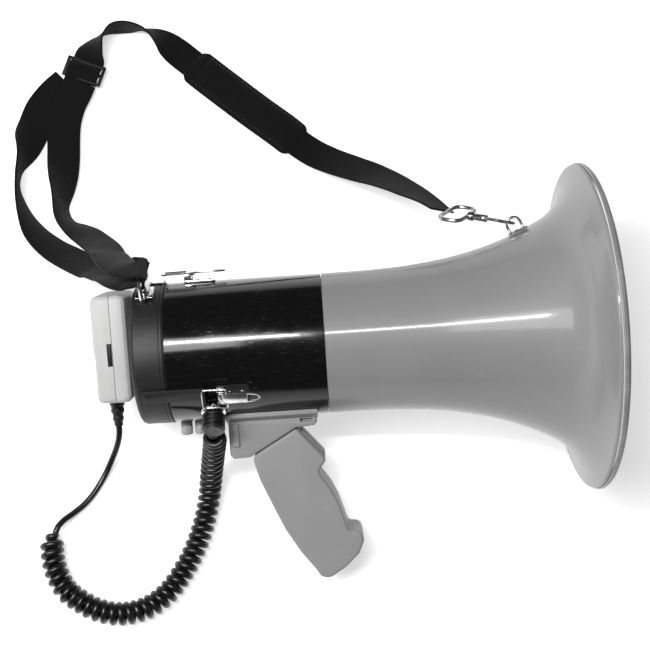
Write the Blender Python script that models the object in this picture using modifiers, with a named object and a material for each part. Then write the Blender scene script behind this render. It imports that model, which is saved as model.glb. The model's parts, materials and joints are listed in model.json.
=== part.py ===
"""Handheld megaphone lying on its side, with its fist microphone, curly cord and shoulder strap.

The megaphone is built in its own frame: X runs along the horn towards the bell, the grip hangs towards -Y,
and +Z is the side that faces up when it lies down. One empty, "megaphone", carries that frame to its resting
place on the floor. The strap, the cord and their fittings lie on the floor and are built in world space.
"""

import math

import bmesh
import bpy
from mathutils import Matrix, Vector

MM = 0.001
GAP = 0.3 * MM

# Driving dimensions
BARREL_R = 49.5 * MM
WALL = 2.5 * MM
REAR_X = -131.0 * MM
SEAM_X = -109.0 * MM
RIM_R = 115.0 * MM
RIM_X = 182.8 * MM
FLARE_END_X = 172.0 * MM
FLARE_RISE = 36.7 * MM
SPIGOT_R = 46.6 * MM
SPIGOT_X = -12.0 * MM
CUP_R = 36.0 * MM
WEBBING_WIDTH = 25.0 * MM
WEBBING_THICKNESS = 1.6 * MM
CORD_R = 2.3 * MM
COIL_R = 8.5 * MM

# The megaphone lies on its bell rim, the rear edge of its barrel and the end of its grip.
REST_PITCH = math.atan2(RIM_R - BARREL_R, RIM_X - REAR_X)
REST_ROLL = math.radians(20.5)
REST_HEIGHT = RIM_R * math.cos(REST_PITCH) - RIM_X * math.sin(REST_PITCH)
# Where the middle of the black and grey joint stands over the floor, from the middle of the whole object.
JOINT_PLACE = Vector((0.0066, -0.0618, 0.0))

SEGMENTS = 40


# Scene and materials


def clear_scene():
    for obj in list(bpy.data.objects):
        bpy.data.objects.remove(obj)


def new_collection(name):
    collection = bpy.data.collections.new(name)
    bpy.context.scene.collection.children.link(collection)
    return collection


def new_material(name, colour, roughness, metallic=0.0):
    material = bpy.data.materials.new(name)
    material.use_nodes = True
    shader = material.node_tree.nodes["Principled BSDF"]
    shader.inputs["Base Color"].default_value = (*colour, 1.0)
    shader.inputs["Roughness"].default_value = roughness
    shader.inputs["Metallic"].default_value = metallic
    return material


clear_scene()
PARTS = new_collection("handheld_megaphone")
CUTTERS = new_collection("cutters")

GREY_PLASTIC = new_material("grey_plastic", (0.27, 0.27, 0.275), 0.38)
LIGHT_PLASTIC = new_material("light_plastic", (0.62, 0.62, 0.61), 0.45)
BLACK_PLASTIC = new_material("black_plastic", (0.012, 0.012, 0.013), 0.25)
BLACK_RUBBER = new_material("black_rubber", (0.02, 0.02, 0.02), 0.6)
CHROME = new_material("chrome", (0.75, 0.75, 0.76), 0.18, 1.0)
STEEL = new_material("steel", (0.45, 0.45, 0.46), 0.35, 1.0)
WEBBING = new_material("black_webbing", (0.012, 0.012, 0.012), 0.85)
BOARD_GREEN = new_material("board_green", (0.03, 0.16, 0.06), 0.5)
CELL_WRAP = new_material("cell_wrap", (0.5, 0.33, 0.08), 0.4)


# Building blocks


def add(name, mesh, material, parent=None, collection=None):
    """A mesh as an object, with its material, under its parent."""
    obj = bpy.data.objects.new(name, mesh)
    mesh.materials.append(material)
    (collection or PARTS).objects.link(obj)
    obj.parent = parent
    return obj


def frame(name, parent=None, location=(0, 0, 0), rotation=None):
    """An empty that carries a frame."""
    empty = bpy.data.objects.new(name, None)
    PARTS.objects.link(empty)
    empty.parent = parent
    turn = rotation.to_4x4() if rotation else Matrix()
    empty.matrix_local = Matrix.Translation(location) @ turn
    return empty


def screw(obj):
    turn = obj.modifiers.new("turn", "SCREW")
    turn.axis = "Z"
    turn.steps = SEGMENTS
    turn.render_steps = SEGMENTS
    turn.use_merge_vertices = True
    turn.merge_threshold = 1e-6
    turn.use_smooth_shade = False
    return turn


def turned(name, outline, material, parent, steps=SEGMENTS, closed=True):
    """A solid turned about the parent's X axis from (along, radius) points.

    A closed outline is a ring's section; an open one starts and ends on the axis.
    """
    area = sum(
        a[1] * b[0] - b[1] * a[0]
        for a, b in zip(outline, outline[1:] + outline[:1])
    )
    if area > 0:
        outline = outline[::-1]
    mesh = bpy.data.meshes.new(name)
    edges = [(i, i + 1) for i in range(len(outline) - 1)]
    if closed:
        edges.append((len(outline) - 1, 0))
    mesh.from_pydata([(radius, 0, along) for along, radius in outline], edges, [])
    obj = add(name, mesh, material, parent)
    obj.rotation_euler = (0, math.pi / 2, 0)
    turn = screw(obj)
    turn.steps = steps
    turn.render_steps = steps
    return obj


def cylinder(name, radius, ends, axis, material, parent, at=(0, 0, 0), sides=24, collection=None, tip=None):
    """A cylinder, or a cone with a tip radius, from ends[0] to ends[1] along an axis through a point."""
    mesh = bpy.data.meshes.new(name)
    bm = bmesh.new()
    bmesh.ops.create_cone(
        bm,
        cap_ends=True,
        segments=sides,
        radius1=radius,
        radius2=radius if tip is None else tip,
        depth=ends[1] - ends[0],
    )
    middle = Matrix.Translation((0, 0, (ends[0] + ends[1]) / 2))
    turn = Vector((0, 0, 1)).rotation_difference(Vector(axis)).to_matrix().to_4x4()
    bmesh.ops.transform(bm, matrix=Matrix.Translation(at) @ turn @ middle, verts=bm.verts)
    bm.to_mesh(mesh)
    bm.free()
    return add(name, mesh, material, parent, collection)


def block(name, low, high, material, parent, bevel=0.0, segments=2, collection=None):
    """A box between two corners, with rounded edges where bevel says."""
    mesh = bpy.data.meshes.new(name)
    bm = bmesh.new()
    bmesh.ops.create_cube(bm, size=1.0)
    low, high = Vector(low), Vector(high)
    size = high - low
    place = Matrix.Translation((low + high) / 2) @ Matrix.Diagonal((*size, 1.0))
    bmesh.ops.transform(bm, matrix=place, verts=bm.verts)
    bm.to_mesh(mesh)
    bm.free()
    obj = add(name, mesh, material, parent, collection)
    if bevel:
        rounding = obj.modifiers.new("rounding", "BEVEL")
        rounding.width = bevel
        rounding.segments = segments
    return obj


def slab(name, outline, half, material, parent, bevel=0.0, segments=2, middle=0.0, collection=None):
    """A flat outline in the parent's XY plane, half thick to each side of Z = middle."""
    mesh = bpy.data.meshes.new(name)
    bm = bmesh.new()
    base = [bm.verts.new((x, y, middle - half)) for x, y in outline]
    face = bm.faces.new(base)
    raised = bmesh.ops.extrude_face_region(bm, geom=[face])
    verts = [item for item in raised["geom"] if isinstance(item, bmesh.types.BMVert)]
    bmesh.ops.translate(bm, vec=(0, 0, 2 * half), verts=verts)
    bmesh.ops.recalc_face_normals(bm, faces=bm.faces)
    bm.to_mesh(mesh)
    bm.free()
    obj = add(name, mesh, material, parent, collection)
    if bevel:
        rounding = obj.modifiers.new("rounding", "BEVEL")
        rounding.width = bevel
        rounding.segments = segments
        rounding.limit_method = "ANGLE"
        rounding.angle_limit = math.radians(50)
    return obj


def boolean(obj, other, operation):
    """Cuts or joins another object, which then stays as a hidden helper."""
    for old in list(other.users_collection):
        old.objects.unlink(other)
    CUTTERS.objects.link(other)
    other.hide_render = True
    other.display_type = "WIRE"
    step = obj.modifiers.new(operation.lower(), "BOOLEAN")
    step.operation = operation
    step.object = other
    return obj


def cut(obj, *others):
    for other in others:
        boolean(obj, other, "DIFFERENCE")
    return obj


def join(obj, *others):
    for other in others:
        boolean(obj, other, "UNION")
    return obj


def through(points, per_span=4):
    """Points on a smooth curve through the given ones, with a fourth value carried along."""
    rows = [Vector(point) for point in points]
    rows = [rows[0] * 2 - rows[1], *rows, rows[-1] * 2 - rows[-2]]
    out = []
    for a, b, c, d in zip(rows, rows[1:], rows[2:], rows[3:]):
        for step in range(per_span):
            t = step / per_span
            out.append(
                0.5 * (2 * b + (c - a) * t + (2 * a - 5 * b + 4 * c - d) * t**2 + (3 * b - a - 3 * c + d) * t**3)
            )
    out.append(rows[-2])
    return out


def curve(name, points, radius, material, parent=None, cyclic=False, resolution=2, collection=None):
    """A round wire or cord along points."""
    data = bpy.data.curves.new(name, "CURVE")
    data.dimensions = "3D"
    data.bevel_depth = radius
    data.bevel_resolution = resolution
    data.use_fill_caps = not cyclic
    spline = data.splines.new("POLY")
    spline.points.add(len(points) - 1)
    for point, place in zip(spline.points, points):
        point.co = (*place[:3], 1.0)
    spline.use_cyclic_u = cyclic
    obj = bpy.data.objects.new(name, data)
    data.materials.append(material)
    (collection or PARTS).objects.link(obj)
    obj.parent = parent
    return obj


def as_mesh(obj):
    """The same object as a mesh, so that it can be cut or joined."""
    bpy.context.view_layer.update()
    graph = bpy.context.evaluated_depsgraph_get()
    mesh = bpy.data.meshes.new_from_object(obj.evaluated_get(graph))
    bm = bmesh.new()
    bm.from_mesh(mesh)
    bmesh.ops.remove_doubles(bm, verts=bm.verts, dist=1e-6)
    bmesh.ops.recalc_face_normals(bm, faces=bm.faces)
    bm.to_mesh(mesh)
    bm.free()
    name, parent, place = obj.name, obj.parent, obj.matrix_local.copy()
    home = obj.users_collection[0]
    bpy.data.objects.remove(obj)
    made = bpy.data.objects.new(name, mesh)
    home.objects.link(made)
    made.parent = parent
    made.matrix_local = place
    return made


def rounded_loop(width, height, radius, steps=4):
    """Points round a rectangle with round corners, centred on the origin."""
    points = []
    for quarter in range(4):
        sx = 1 if quarter in (0, 3) else -1
        sy = 1 if quarter in (0, 1) else -1
        for step in range(steps + 1):
            angle = math.pi / 2 * (quarter + step / steps)
            points.append(
                (
                    sx * (width / 2 - radius) + radius * math.cos(angle),
                    sy * (height / 2 - radius) + radius * math.sin(angle),
                )
            )
    return points


# Frames


def resting_frame():
    turn = Matrix.Rotation(-REST_PITCH, 3, "Y") @ Matrix.Rotation(REST_ROLL, 3, "X")
    return frame("megaphone", None, JOINT_PLACE + Vector((0, 0, REST_HEIGHT)), turn)


def barrel_frame(name, along, angle, radius=BARREL_R):
    """A frame on the barrel: Z points out from it, X along it, and angle 0 is the side facing +Z."""
    out = Vector((0, math.sin(angle), math.cos(angle)))
    side = Vector((0, math.cos(angle), -math.sin(angle)))
    turn = Matrix((Vector((1, 0, 0)), side, out)).transposed()
    return frame(name, MEGAPHONE, Vector((along, 0, 0)) + out * radius, turn)


MEGAPHONE = resting_frame()


# Horn and driver


def flare_radius(along):
    return BARREL_R + FLARE_RISE * (along / FLARE_END_X) ** 3


def bezier(points, steps):
    (ax, ay), (bx, by), (cx, cy), (dx, dy) = points
    out = []
    for step in range(1, steps + 1):
        t = step / steps
        u = 1 - t
        weights = (u**3, 3 * u * u * t, 3 * u * t * t, t**3)
        out.append(
            (
                sum(w * v for w, v in zip(weights, (ax, bx, cx, dx))),
                sum(w * v for w, v in zip(weights, (ay, by, cy, dy))),
            )
        )
    return out


def make_horn():
    neck = [(SPIGOT_X, SPIGOT_R), (GAP / 2, SPIGOT_R)]
    flare = [(FLARE_END_X * i / 8 or GAP / 2, flare_radius(FLARE_END_X * i / 8)) for i in range(9)]
    lip_end = (181.5 * MM, 114.0 * MM)
    lip = bezier((flare[-1], (176 * MM, 89 * MM), (176.5 * MM, 114 * MM), lip_end), 5)
    outline = neck + flare + lip
    mesh = bpy.data.meshes.new("horn_bell")
    points = [(radius, 0, along) for along, radius in reversed(outline)]
    mesh.from_pydata(points, [(i, i + 1) for i in range(len(points) - 1)], [])
    horn = add("horn_bell", mesh, GREY_PLASTIC, MEGAPHONE)
    horn.rotation_euler = (0, math.pi / 2, 0)
    screw(horn)
    shell = horn.modifiers.new("wall", "SOLIDIFY")
    shell.thickness = WALL
    shell.offset = -1.0
    shell.use_even_offset = True
    trim = [
        (183.9 * MM, 110.2 * MM),
        (183.7 * MM, 112.4 * MM),
        (182.0 * MM, 114.4 * MM),
        (RIM_X, RIM_R),
        (184.8 * MM, RIM_R),
        (186.2 * MM, 113.9 * MM),
        (186.5 * MM, 111.8 * MM),
        (185.6 * MM, 110.2 * MM),
    ]
    turned("bell_rim_trim", trim, BLACK_RUBBER, MEGAPHONE)


def make_reflector():
    nose_x, skirt_x = 118 * MM, 44 * MM
    dome = bezier(((84 * MM, CUP_R), (104 * MM, CUP_R), (nose_x, 24 * MM), (nose_x, 0.0)), 5)
    inner = bezier(((113 * MM, 0.0), (112 * MM, 20 * MM), (100 * MM, 33 * MM), (82 * MM, 33.5 * MM)), 4)
    outline = [(skirt_x, CUP_R), (84 * MM, CUP_R), *dome, (113 * MM, 0.0), *inner, (skirt_x, 33.5 * MM)]
    # The section starts and ends on the axis, so it is listed from the nose round to the inside of the dome.
    start = outline.index((nose_x, 0.0))
    section = outline[start + 1 :] + outline[: start + 1]
    cup = turned("reflector_cup", section, GREY_PLASTIC, MEGAPHONE, steps=24, closed=False)
    for i in range(3):
        angle = math.radians(90 + 120 * i)
        fin = block(
            f"fin_{i}",
            (48 * MM, 34.5 * MM, -1.2 * MM),
            (66 * MM, 46.7 * MM, 1.2 * MM),
            GREY_PLASTIC,
            MEGAPHONE,
        )
        fin.rotation_euler = (angle, 0, 0)
        join(cup, fin)
    tube = [
        (-6.7 * MM, 8.0 * MM),
        (-6.7 * MM, 22.0 * MM),
        (-4.0 * MM, 22.0 * MM),
        (-4.0 * MM, 11.0 * MM),
        (40 * MM, 13.0 * MM),
        (86 * MM, 21.0 * MM),
        (86 * MM, 19.0 * MM),
        (40 * MM, 11.0 * MM),
    ]
    turned("throat_tube", tube, GREY_PLASTIC, MEGAPHONE, steps=24)


def make_driver():
    plate = [(-14.5, 8.0), (-14.5, 34), (-10, 34), (-10, 43.8), (-7, 43.8), (-7, 8.0)]
    turned("bulkhead", [(along * MM, radius * MM) for along, radius in plate], STEEL, MEGAPHONE, steps=24)
    dome = [
        (-15.8 * MM, 0.0),
        (-16.6 * MM, 10 * MM),
        (-18.4 * MM, 16 * MM),
        (-18.4 * MM, 31 * MM),
        (-19.2 * MM, 31 * MM),
        (-19.2 * MM, 16 * MM),
        (-17.6 * MM, 10 * MM),
        (-16.8 * MM, 0.0),
    ]
    turned("driver_diaphragm", dome, CELL_WRAP, MEGAPHONE, steps=24, closed=False)
    magnet = [(-42 * MM, 0.0), (-42 * MM, 27 * MM), (-24 * MM, 27 * MM), (-24 * MM, 0.0)]
    turned("driver_magnet", magnet[::-1], STEEL, MEGAPHONE, steps=24, closed=False)
    can = [
        (-44.5 * MM, 0.0),
        (-44.5 * MM, 34 * MM),
        (-14.8 * MM, 34 * MM),
        (-14.8 * MM, 31.5 * MM),
        (-42.3 * MM, 31.5 * MM),
        (-42.3 * MM, 0.0),
    ]
    turned("driver_back_can", can, STEEL, MEGAPHONE, steps=24, closed=False)


# Barrel, cap and what they hold

KNOB_PLACES = {"volume": -102.5 * MM, "tone": -92.5 * MM}
SOCKET_X = -79.0 * MM
SOCKET_ANGLE = math.radians(-48)


def make_barrel():
    start = SEAM_X + 1.1 * MM
    barrel = turned(
        "barrel_shell",
        [(start, BARREL_R - WALL), (start, BARREL_R), (-GAP / 2, BARREL_R), (-GAP / 2, BARREL_R - WALL)],
        BLACK_PLASTIC,
        MEGAPHONE,
    )
    for name, along in KNOB_PLACES.items():
        hole = cylinder(f"{name}_hole", 2.1 * MM, (40 * MM, 56 * MM), (0, -1, 0), STEEL, MEGAPHONE, (along, 0, 0), 16)
        cut(barrel, hole)
    out = (0, math.sin(SOCKET_ANGLE), math.cos(SOCKET_ANGLE))
    cut(barrel, cylinder("socket_hole", 6.2 * MM, (40 * MM, 56 * MM), out, STEEL, MEGAPHONE, (SOCKET_X, 0, 0)))


def make_rear_cap():
    inside = REAR_X + 3 * MM
    turned(
        "rear_cap",
        [
            (REAR_X, 0.0),
            (REAR_X, BARREL_R - 1.5 * MM),
            (REAR_X + 0.5 * MM, BARREL_R - 0.5 * MM),
            (REAR_X + 1.5 * MM, BARREL_R),
            (SEAM_X, BARREL_R),
            (SEAM_X, SPIGOT_R),
            (SEAM_X + 3.5 * MM, SPIGOT_R),
            (SEAM_X + 3.5 * MM, SPIGOT_R - 2 * MM),
            (inside, SPIGOT_R - 2 * MM),
            (inside, 0.0),
        ],
        BLACK_PLASTIC,
        MEGAPHONE,
        closed=False,
    )
    turned(
        "cap_seal",
        [
            (SEAM_X + GAP, SPIGOT_R + GAP),
            (SEAM_X + GAP, BARREL_R - 0.7 * MM),
            (SEAM_X + 0.8 * MM, BARREL_R - 0.7 * MM),
            (SEAM_X + 0.8 * MM, SPIGOT_R + GAP),
        ],
        BLACK_RUBBER,
        MEGAPHONE,
    )


def make_batteries():
    tray = turned(
        "battery_tray",
        [
            (-127.6 * MM, 0.0),
            (-127.6 * MM, 42 * MM),
            (-126 * MM, 42 * MM),
            (-126 * MM, 9 * MM),
            (-73 * MM, 9 * MM),
            (-73 * MM, 42 * MM),
            (-71.4 * MM, 42 * MM),
            (-71.4 * MM, 0.0),
        ],
        BLACK_PLASTIC,
        MEGAPHONE,
        steps=24,
        closed=False,
    )
    for face in ((-130 * MM, -60 * MM, -20 * MM), (-60 * MM, -36 * MM, 20 * MM)), :
        cut(tray, block("tray_notch", *face, STEEL, MEGAPHONE))
    for i in range(5):
        angle = math.radians(-90 + 60 * (i + 1))
        place = (0, 28.5 * MM * math.sin(angle), 28.5 * MM * math.cos(angle))
        name = f"battery_cell_{i + 1}"
        cell = cylinder(name, 12.9 * MM, (-125.6 * MM, -76.4 * MM), (1, 0, 0), CELL_WRAP, MEGAPHONE, place, 20)
        nub = cylinder("nub", 3 * MM, (-77 * MM, -73.6 * MM), (1, 0, 0), STEEL, MEGAPHONE, place, 12)
        join(cell, nub)


def make_amplifier():
    block("amplifier_board", (-70 * MM, -34 * MM, -28 * MM), (-47 * MM, -32.4 * MM, 28 * MM), BOARD_GREEN, MEGAPHONE)
    sink = block("heat_sink", (-69 * MM, -32 * MM, -24 * MM), (-48 * MM, -29 * MM, 24 * MM), STEEL, MEGAPHONE)
    for i in range(5):
        z = (-22 + 11 * i) * MM
        join(sink, block("sink_fin", (-68 * MM, -30 * MM, z - 1 * MM), (-49 * MM, -16 * MM, z + 1 * MM), STEEL, MEGAPHONE))


def make_controls():
    for name, along in KNOB_PLACES.items():
        knob = cylinder(
            f"{name}_knob", 4.2 * MM, (BARREL_R + 0.5 * MM, BARREL_R + 10 * MM), (0, -1, 0),
            LIGHT_PLASTIC, MEGAPHONE, (along, 0, 0), 20,
        )
        rounding = knob.modifiers.new("rounding", "BEVEL")
        rounding.width = 0.9 * MM
        rounding.segments = 2
        rounding.limit_method = "ANGLE"
        rounding.angle_limit = math.radians(50)
        pointer = (0.5 * MM, BARREL_R + 1.5 * MM, BARREL_R + 9 * MM)
        join(
            knob,
            block(
                "pointer", (along - pointer[0], -pointer[2], 3.6 * MM), (along + pointer[0], -pointer[1], 4.7 * MM),
                STEEL, MEGAPHONE,
            ),
            cylinder("stem", 1.5 * MM, (44.1 * MM, 52 * MM), (0, -1, 0), STEEL, MEGAPHONE, (along, 0, 0), 12),
        )
    board = block("control_board", (-108 * MM, -38.2 * MM, -8 * MM), (-87 * MM, -36.8 * MM, 8 * MM), BOARD_GREEN, MEGAPHONE)
    for along in KNOB_PLACES.values():
        join(board, cylinder("pot", 4.6 * MM, (38 * MM, 43.8 * MM), (0, -1, 0), STEEL, MEGAPHONE, (along, 0, 0), 16))


# Draw latches: a base riveted on the barrel, a lever, a wire bail and a keeper on the rear cap.
# Each is (name, middle angle, place of the lever's pivot, how far in front of the rear edge the keeper reaches).

PIVOT_OUT = 4.6 * MM
BAIL_OUT = 6.6 * MM
BAIL_BACK = 4.0 * MM
LATCHES = (
    ("near", math.radians(-29), -72.0 * MM, -84.0 * MM),
    ("top", math.radians(88), -93.0 * MM, -110.5 * MM),
)


def make_latch(name, angle, pivot_x, keeper_x):
    at = barrel_frame(f"{name}_latch_frame", pivot_x, angle)
    base = block(f"{name}_latch_base", (-3 * MM, -6.5 * MM, GAP), (19 * MM, 6.5 * MM, 1.2 * MM), CHROME, at, 0.4 * MM)
    for side in (-1, 1):
        ear = block("ear", (-2.6 * MM, side * 5.2 * MM - 0.6 * MM, 1 * MM),
                    (2.6 * MM, side * 5.2 * MM + 0.6 * MM, 6.4 * MM), CHROME, at)
        join(base, ear)
    cut(base, cylinder("pin_way", 1.1 * MM, (-8 * MM, 8 * MM), (0, 1, 0), CHROME, at, (0, 0, PIVOT_OUT), 12))
    for x in (6, 14.5):
        rivet = cylinder("rivet", 1.7 * MM, (1 * MM, 1.9 * MM), (0, 0, 1), CHROME, at, (x * MM, 0, 0), 12)
        join(base, rivet)
    lever_at = frame(f"{name}_latch_lever_axis", at, (0, 0, PIVOT_OUT))
    rise = BAIL_OUT - PIVOT_OUT
    lever = block(f"{name}_latch_lever", (1.5 * MM, -4 * MM, rise - 0.6 * MM), (18 * MM, 4 * MM, rise + 1 * MM),
                  CHROME, lever_at, 0.4 * MM)
    barrel = cylinder("lever_barrel", 2.1 * MM, (-4 * MM, 4 * MM), (0, 1, 0), CHROME, lever_at, (0, 0, 0), 16)
    pin = cylinder("lever_pin", 0.8 * MM, (-5.6 * MM, 5.6 * MM), (0, 1, 0), CHROME, lever_at, (0, 0, 0), 12)
    web = block("lever_web", (-1 * MM, -4 * MM, 0.4 * MM), (5 * MM, 4 * MM, rise + 0.8 * MM), CHROME, lever_at)
    loop = [(18 * MM + 8 * MM * math.sin(t), 3.3 * MM * math.cos(t), rise + 0.2 * MM)
            for t in [math.pi * i / 10 for i in range(11)]]
    loop = [(15 * MM, 3.3 * MM, rise + 0.2 * MM), *loop, (15 * MM, -3.3 * MM, rise + 0.2 * MM)]
    pull = as_mesh(curve("finger_loop", loop, 0.75 * MM, CHROME, lever_at))
    join(lever, web, barrel, pin, pull)
    bail_at = frame(f"{name}_latch_bail_axis", lever_at, (BAIL_BACK, 0, rise))
    reach = pivot_x + BAIL_BACK - (keeper_x - 0.4 * MM)
    half = 6.9 * MM + 0.7 * MM
    wire = [(0, 4.4 * MM, 0.3 * MM), (0, half, 0.3 * MM), (-reach + 1.5 * MM, half, 0), (-reach, half - 1.5 * MM, 0)]
    wire += [(x, -y, z) for x, y, z in reversed(wire)]
    curve(f"{name}_latch_bail", wire, 0.75 * MM, CHROME, bail_at)
    keeper_at = barrel_frame(f"{name}_keeper_frame", keeper_x, angle)
    tail = REAR_X + (6 if keeper_x > SEAM_X else 8) * MM - keeper_x
    keeper = block(f"{name}_latch_keeper", (tail, -5 * MM, GAP), (1.6 * MM, 5 * MM, 1.3 * MM),
                   BLACK_PLASTIC if keeper_x > SEAM_X else CHROME, keeper_at, 0.3 * MM)
    hook = block("hook", (0.5 * MM, -5 * MM, 0.8 * MM), (1.6 * MM, 5 * MM, 8.6 * MM), CHROME, keeper_at)
    head = cylinder("keeper_rivet", 1.7 * MM, (1 * MM, 1.9 * MM), (0, 0, 1), CHROME, keeper_at, (tail + 3 * MM, 0, 0), 12)
    join(keeper, hook, head)


# Strap fittings

RING_X = -121.0 * MM
RING_ANGLE = math.radians(62)
LUG_X = 140.0 * MM
LUG_ANGLE = math.radians(88)


def make_rear_strap_ring():
    spin = barrel_frame("rear_ring_frame", RING_X, RING_ANGLE)
    lug = block("rear_strap_lug", (-6 * MM, -7 * MM, 0.8 * MM), (6 * MM, 7 * MM, 2.2 * MM), CHROME, spin, 0.3 * MM)
    eye = cylinder("eye", 3.6 * MM, (-6 * MM, 6 * MM), (0, 1, 0), CHROME, spin, (0, 0, 4.6 * MM), 16)
    join(lug, eye)
    cut(lug, cylinder("eye_bore", 2.2 * MM, (-9 * MM, 9 * MM), (0, 1, 0), CHROME, spin, (0, 0, 4.6 * MM), 16))
    loop = [(0, x, z + 4.6 * MM + 7 * MM) for x, z in rounded_loop(33 * MM, 14 * MM, 3.2 * MM, 4)]
    curve("rear_strap_ring", loop, 1.5 * MM, CHROME, spin, cyclic=True)


def make_front_strap_lug():
    """A staple of wire on a small plate near the bell."""
    radius = flare_radius(LUG_X)
    slope = math.atan(3 * FLARE_RISE / FLARE_END_X * (LUG_X / FLARE_END_X) ** 2)
    at = barrel_frame("front_lug_frame", LUG_X, LUG_ANGLE, radius)
    tilt = frame("front_lug_tilt", at, (0, 0, 0), Matrix.Rotation(-slope, 3, "Y"))
    plate = block("front_strap_lug", (-7 * MM, -7 * MM, 1.1 * MM), (7 * MM, 7 * MM, 2.5 * MM), CHROME, tilt, 0.3 * MM)
    arc = [(5 * MM * math.cos(t), 0, 6.5 * MM + 5 * MM * math.sin(t)) for t in [math.pi * i / 8 for i in range(9)]]
    staple = [(5 * MM, 0, 1.6 * MM), *arc, (-5 * MM, 0, 1.6 * MM)]
    join(plate, as_mesh(curve("staple", staple, 1.2 * MM, CHROME, tilt)))
    return tilt


HOOK_WAY = Vector((-0.715, 0.375, -0.59))
RING_TURN = math.radians(-20)


def hook_frame(tilt):
    """A frame in the staple's opening: X runs along the hanging hook, Y through the staple."""
    bpy.context.view_layer.update()
    way = HOOK_WAY.normalized()
    across = tilt.matrix_world.to_3x3().col[1]
    across = (across - way * across.dot(way)).normalized()
    turn = Matrix((way, across, way.cross(across))).transposed()
    return frame("snap_hook_frame", None, tilt.matrix_world @ Vector((0, 0, 7.3 * MM)), turn)


def make_snap_hook(tilt):
    at = hook_frame(tilt)
    bow = [(5.5 * MM - 5.5 * MM * math.sin(t), 5.5 * MM * math.cos(t), 0) for t in [math.pi * i / 8 for i in range(9)]]
    bow = [(24 * MM, 0.5 * MM, 0), (19.5 * MM, 4.6 * MM, 0), (12 * MM, 5.5 * MM, 0), *bow, (8.6 * MM, -5.5 * MM, 0)]
    hook = as_mesh(curve("snap_hook", bow, 1.25 * MM, CHROME, at))
    neck = cylinder("neck", 2.6 * MM, (20.5 * MM, 30.7 * MM), (1, 0, 0), CHROME, at, (0, 0, 0), 16)
    arm = block("gate_arm", (20.6 * MM, -4.6 * MM, -1.3 * MM), (24 * MM, 0, 1.3 * MM), CHROME, at, 0.3 * MM)
    join(hook, neck, arm)
    hinge = frame("snap_gate_axis", at, (19.2 * MM, -4.0 * MM, 0))
    gate = cylinder("snap_gate", 1.1 * MM, (-10 * MM, 0.9 * MM), (1, 0.14, 0), CHROME, hinge, (0, 0, 0), 12)
    swivel = cylinder("strap_swivel", 3.4 * MM, (31 * MM, 34.5 * MM), (1, 0, 0), CHROME, at, (0, 0, 0), 16)
    turn = Matrix.Rotation(RING_TURN, 3, "X")
    ring_at = frame("strap_ring_frame", at, (43.6 * MM, 0, 0), turn)
    loop = [(y, x, 0) for x, y in rounded_loop(30 * MM, 17 * MM, 6 * MM, 4)]
    ring = as_mesh(curve("ring", loop, 1.5 * MM, CHROME, ring_at, cyclic=True))
    join(swivel, ring)
    return gate


def make_slide_buckle():
    turn = Matrix.Rotation(math.radians(-109.5), 3, "Z") @ Matrix.Rotation(math.radians(5), 3, "Y")
    at = frame("slide_buckle_frame", None, on_floor(((-166.4, 241.9, 6.9),))[0], turn)
    low, high = (-8.6 * MM, -15.5 * MM, -1.2 * MM), (8.6 * MM, 15.5 * MM, 1.2 * MM)
    buckle = block("slide_buckle", low, high, BLACK_PLASTIC, at, 0.6 * MM)
    for side in (-1, 1):
        near, far = sorted((side * 1.2 * MM, side * 6.4 * MM))
        cut(buckle, block("buckle_slot", (near, -13 * MM, -5 * MM), (far, 13 * MM, 5 * MM), STEEL, at))


# Grip

GRIP_OUTLINE = (
    (-56.5, -75.6), (-52, -93), (-44.6, -111), (-36.5, -130), (-26.5, -147), (-16.5, -160.5), (-13.5, -166),
    (-6.5, -167), (4.8, -159.8), (14.8, -150.5), (19, -141), (17.8, -136), (15.2, -134), (8.6, -133.6),
    (6.3, -124.8), (2.7, -112.8), (-2.3, -102.2), (-10.8, -89.6), (-4.9, -82), (-5.2, -79.6), (-20.4, -61.8),
    (-23.9, -57.1),
)
GRIP_HALF = 16.5 * MM
TRIGGER_TOP = Vector((-19.7 * MM, -60.9 * MM))
TRIGGER_END = Vector((-4.2 * MM, -79.0 * MM))
TRIGGER_HINGE = Vector((-21.9 * MM, -65.6 * MM, 0))
TRIGGER_ALONG = (TRIGGER_END - TRIGGER_TOP).normalized()
TRIGGER_OUT = Vector((-TRIGGER_ALONG.y, TRIGGER_ALONG.x))


def on_trigger(along, depth):
    """A point along the trigger's face and below it."""
    point = TRIGGER_TOP + TRIGGER_ALONG * along * MM - TRIGGER_OUT * depth * MM
    return (point.x, point.y)


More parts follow.
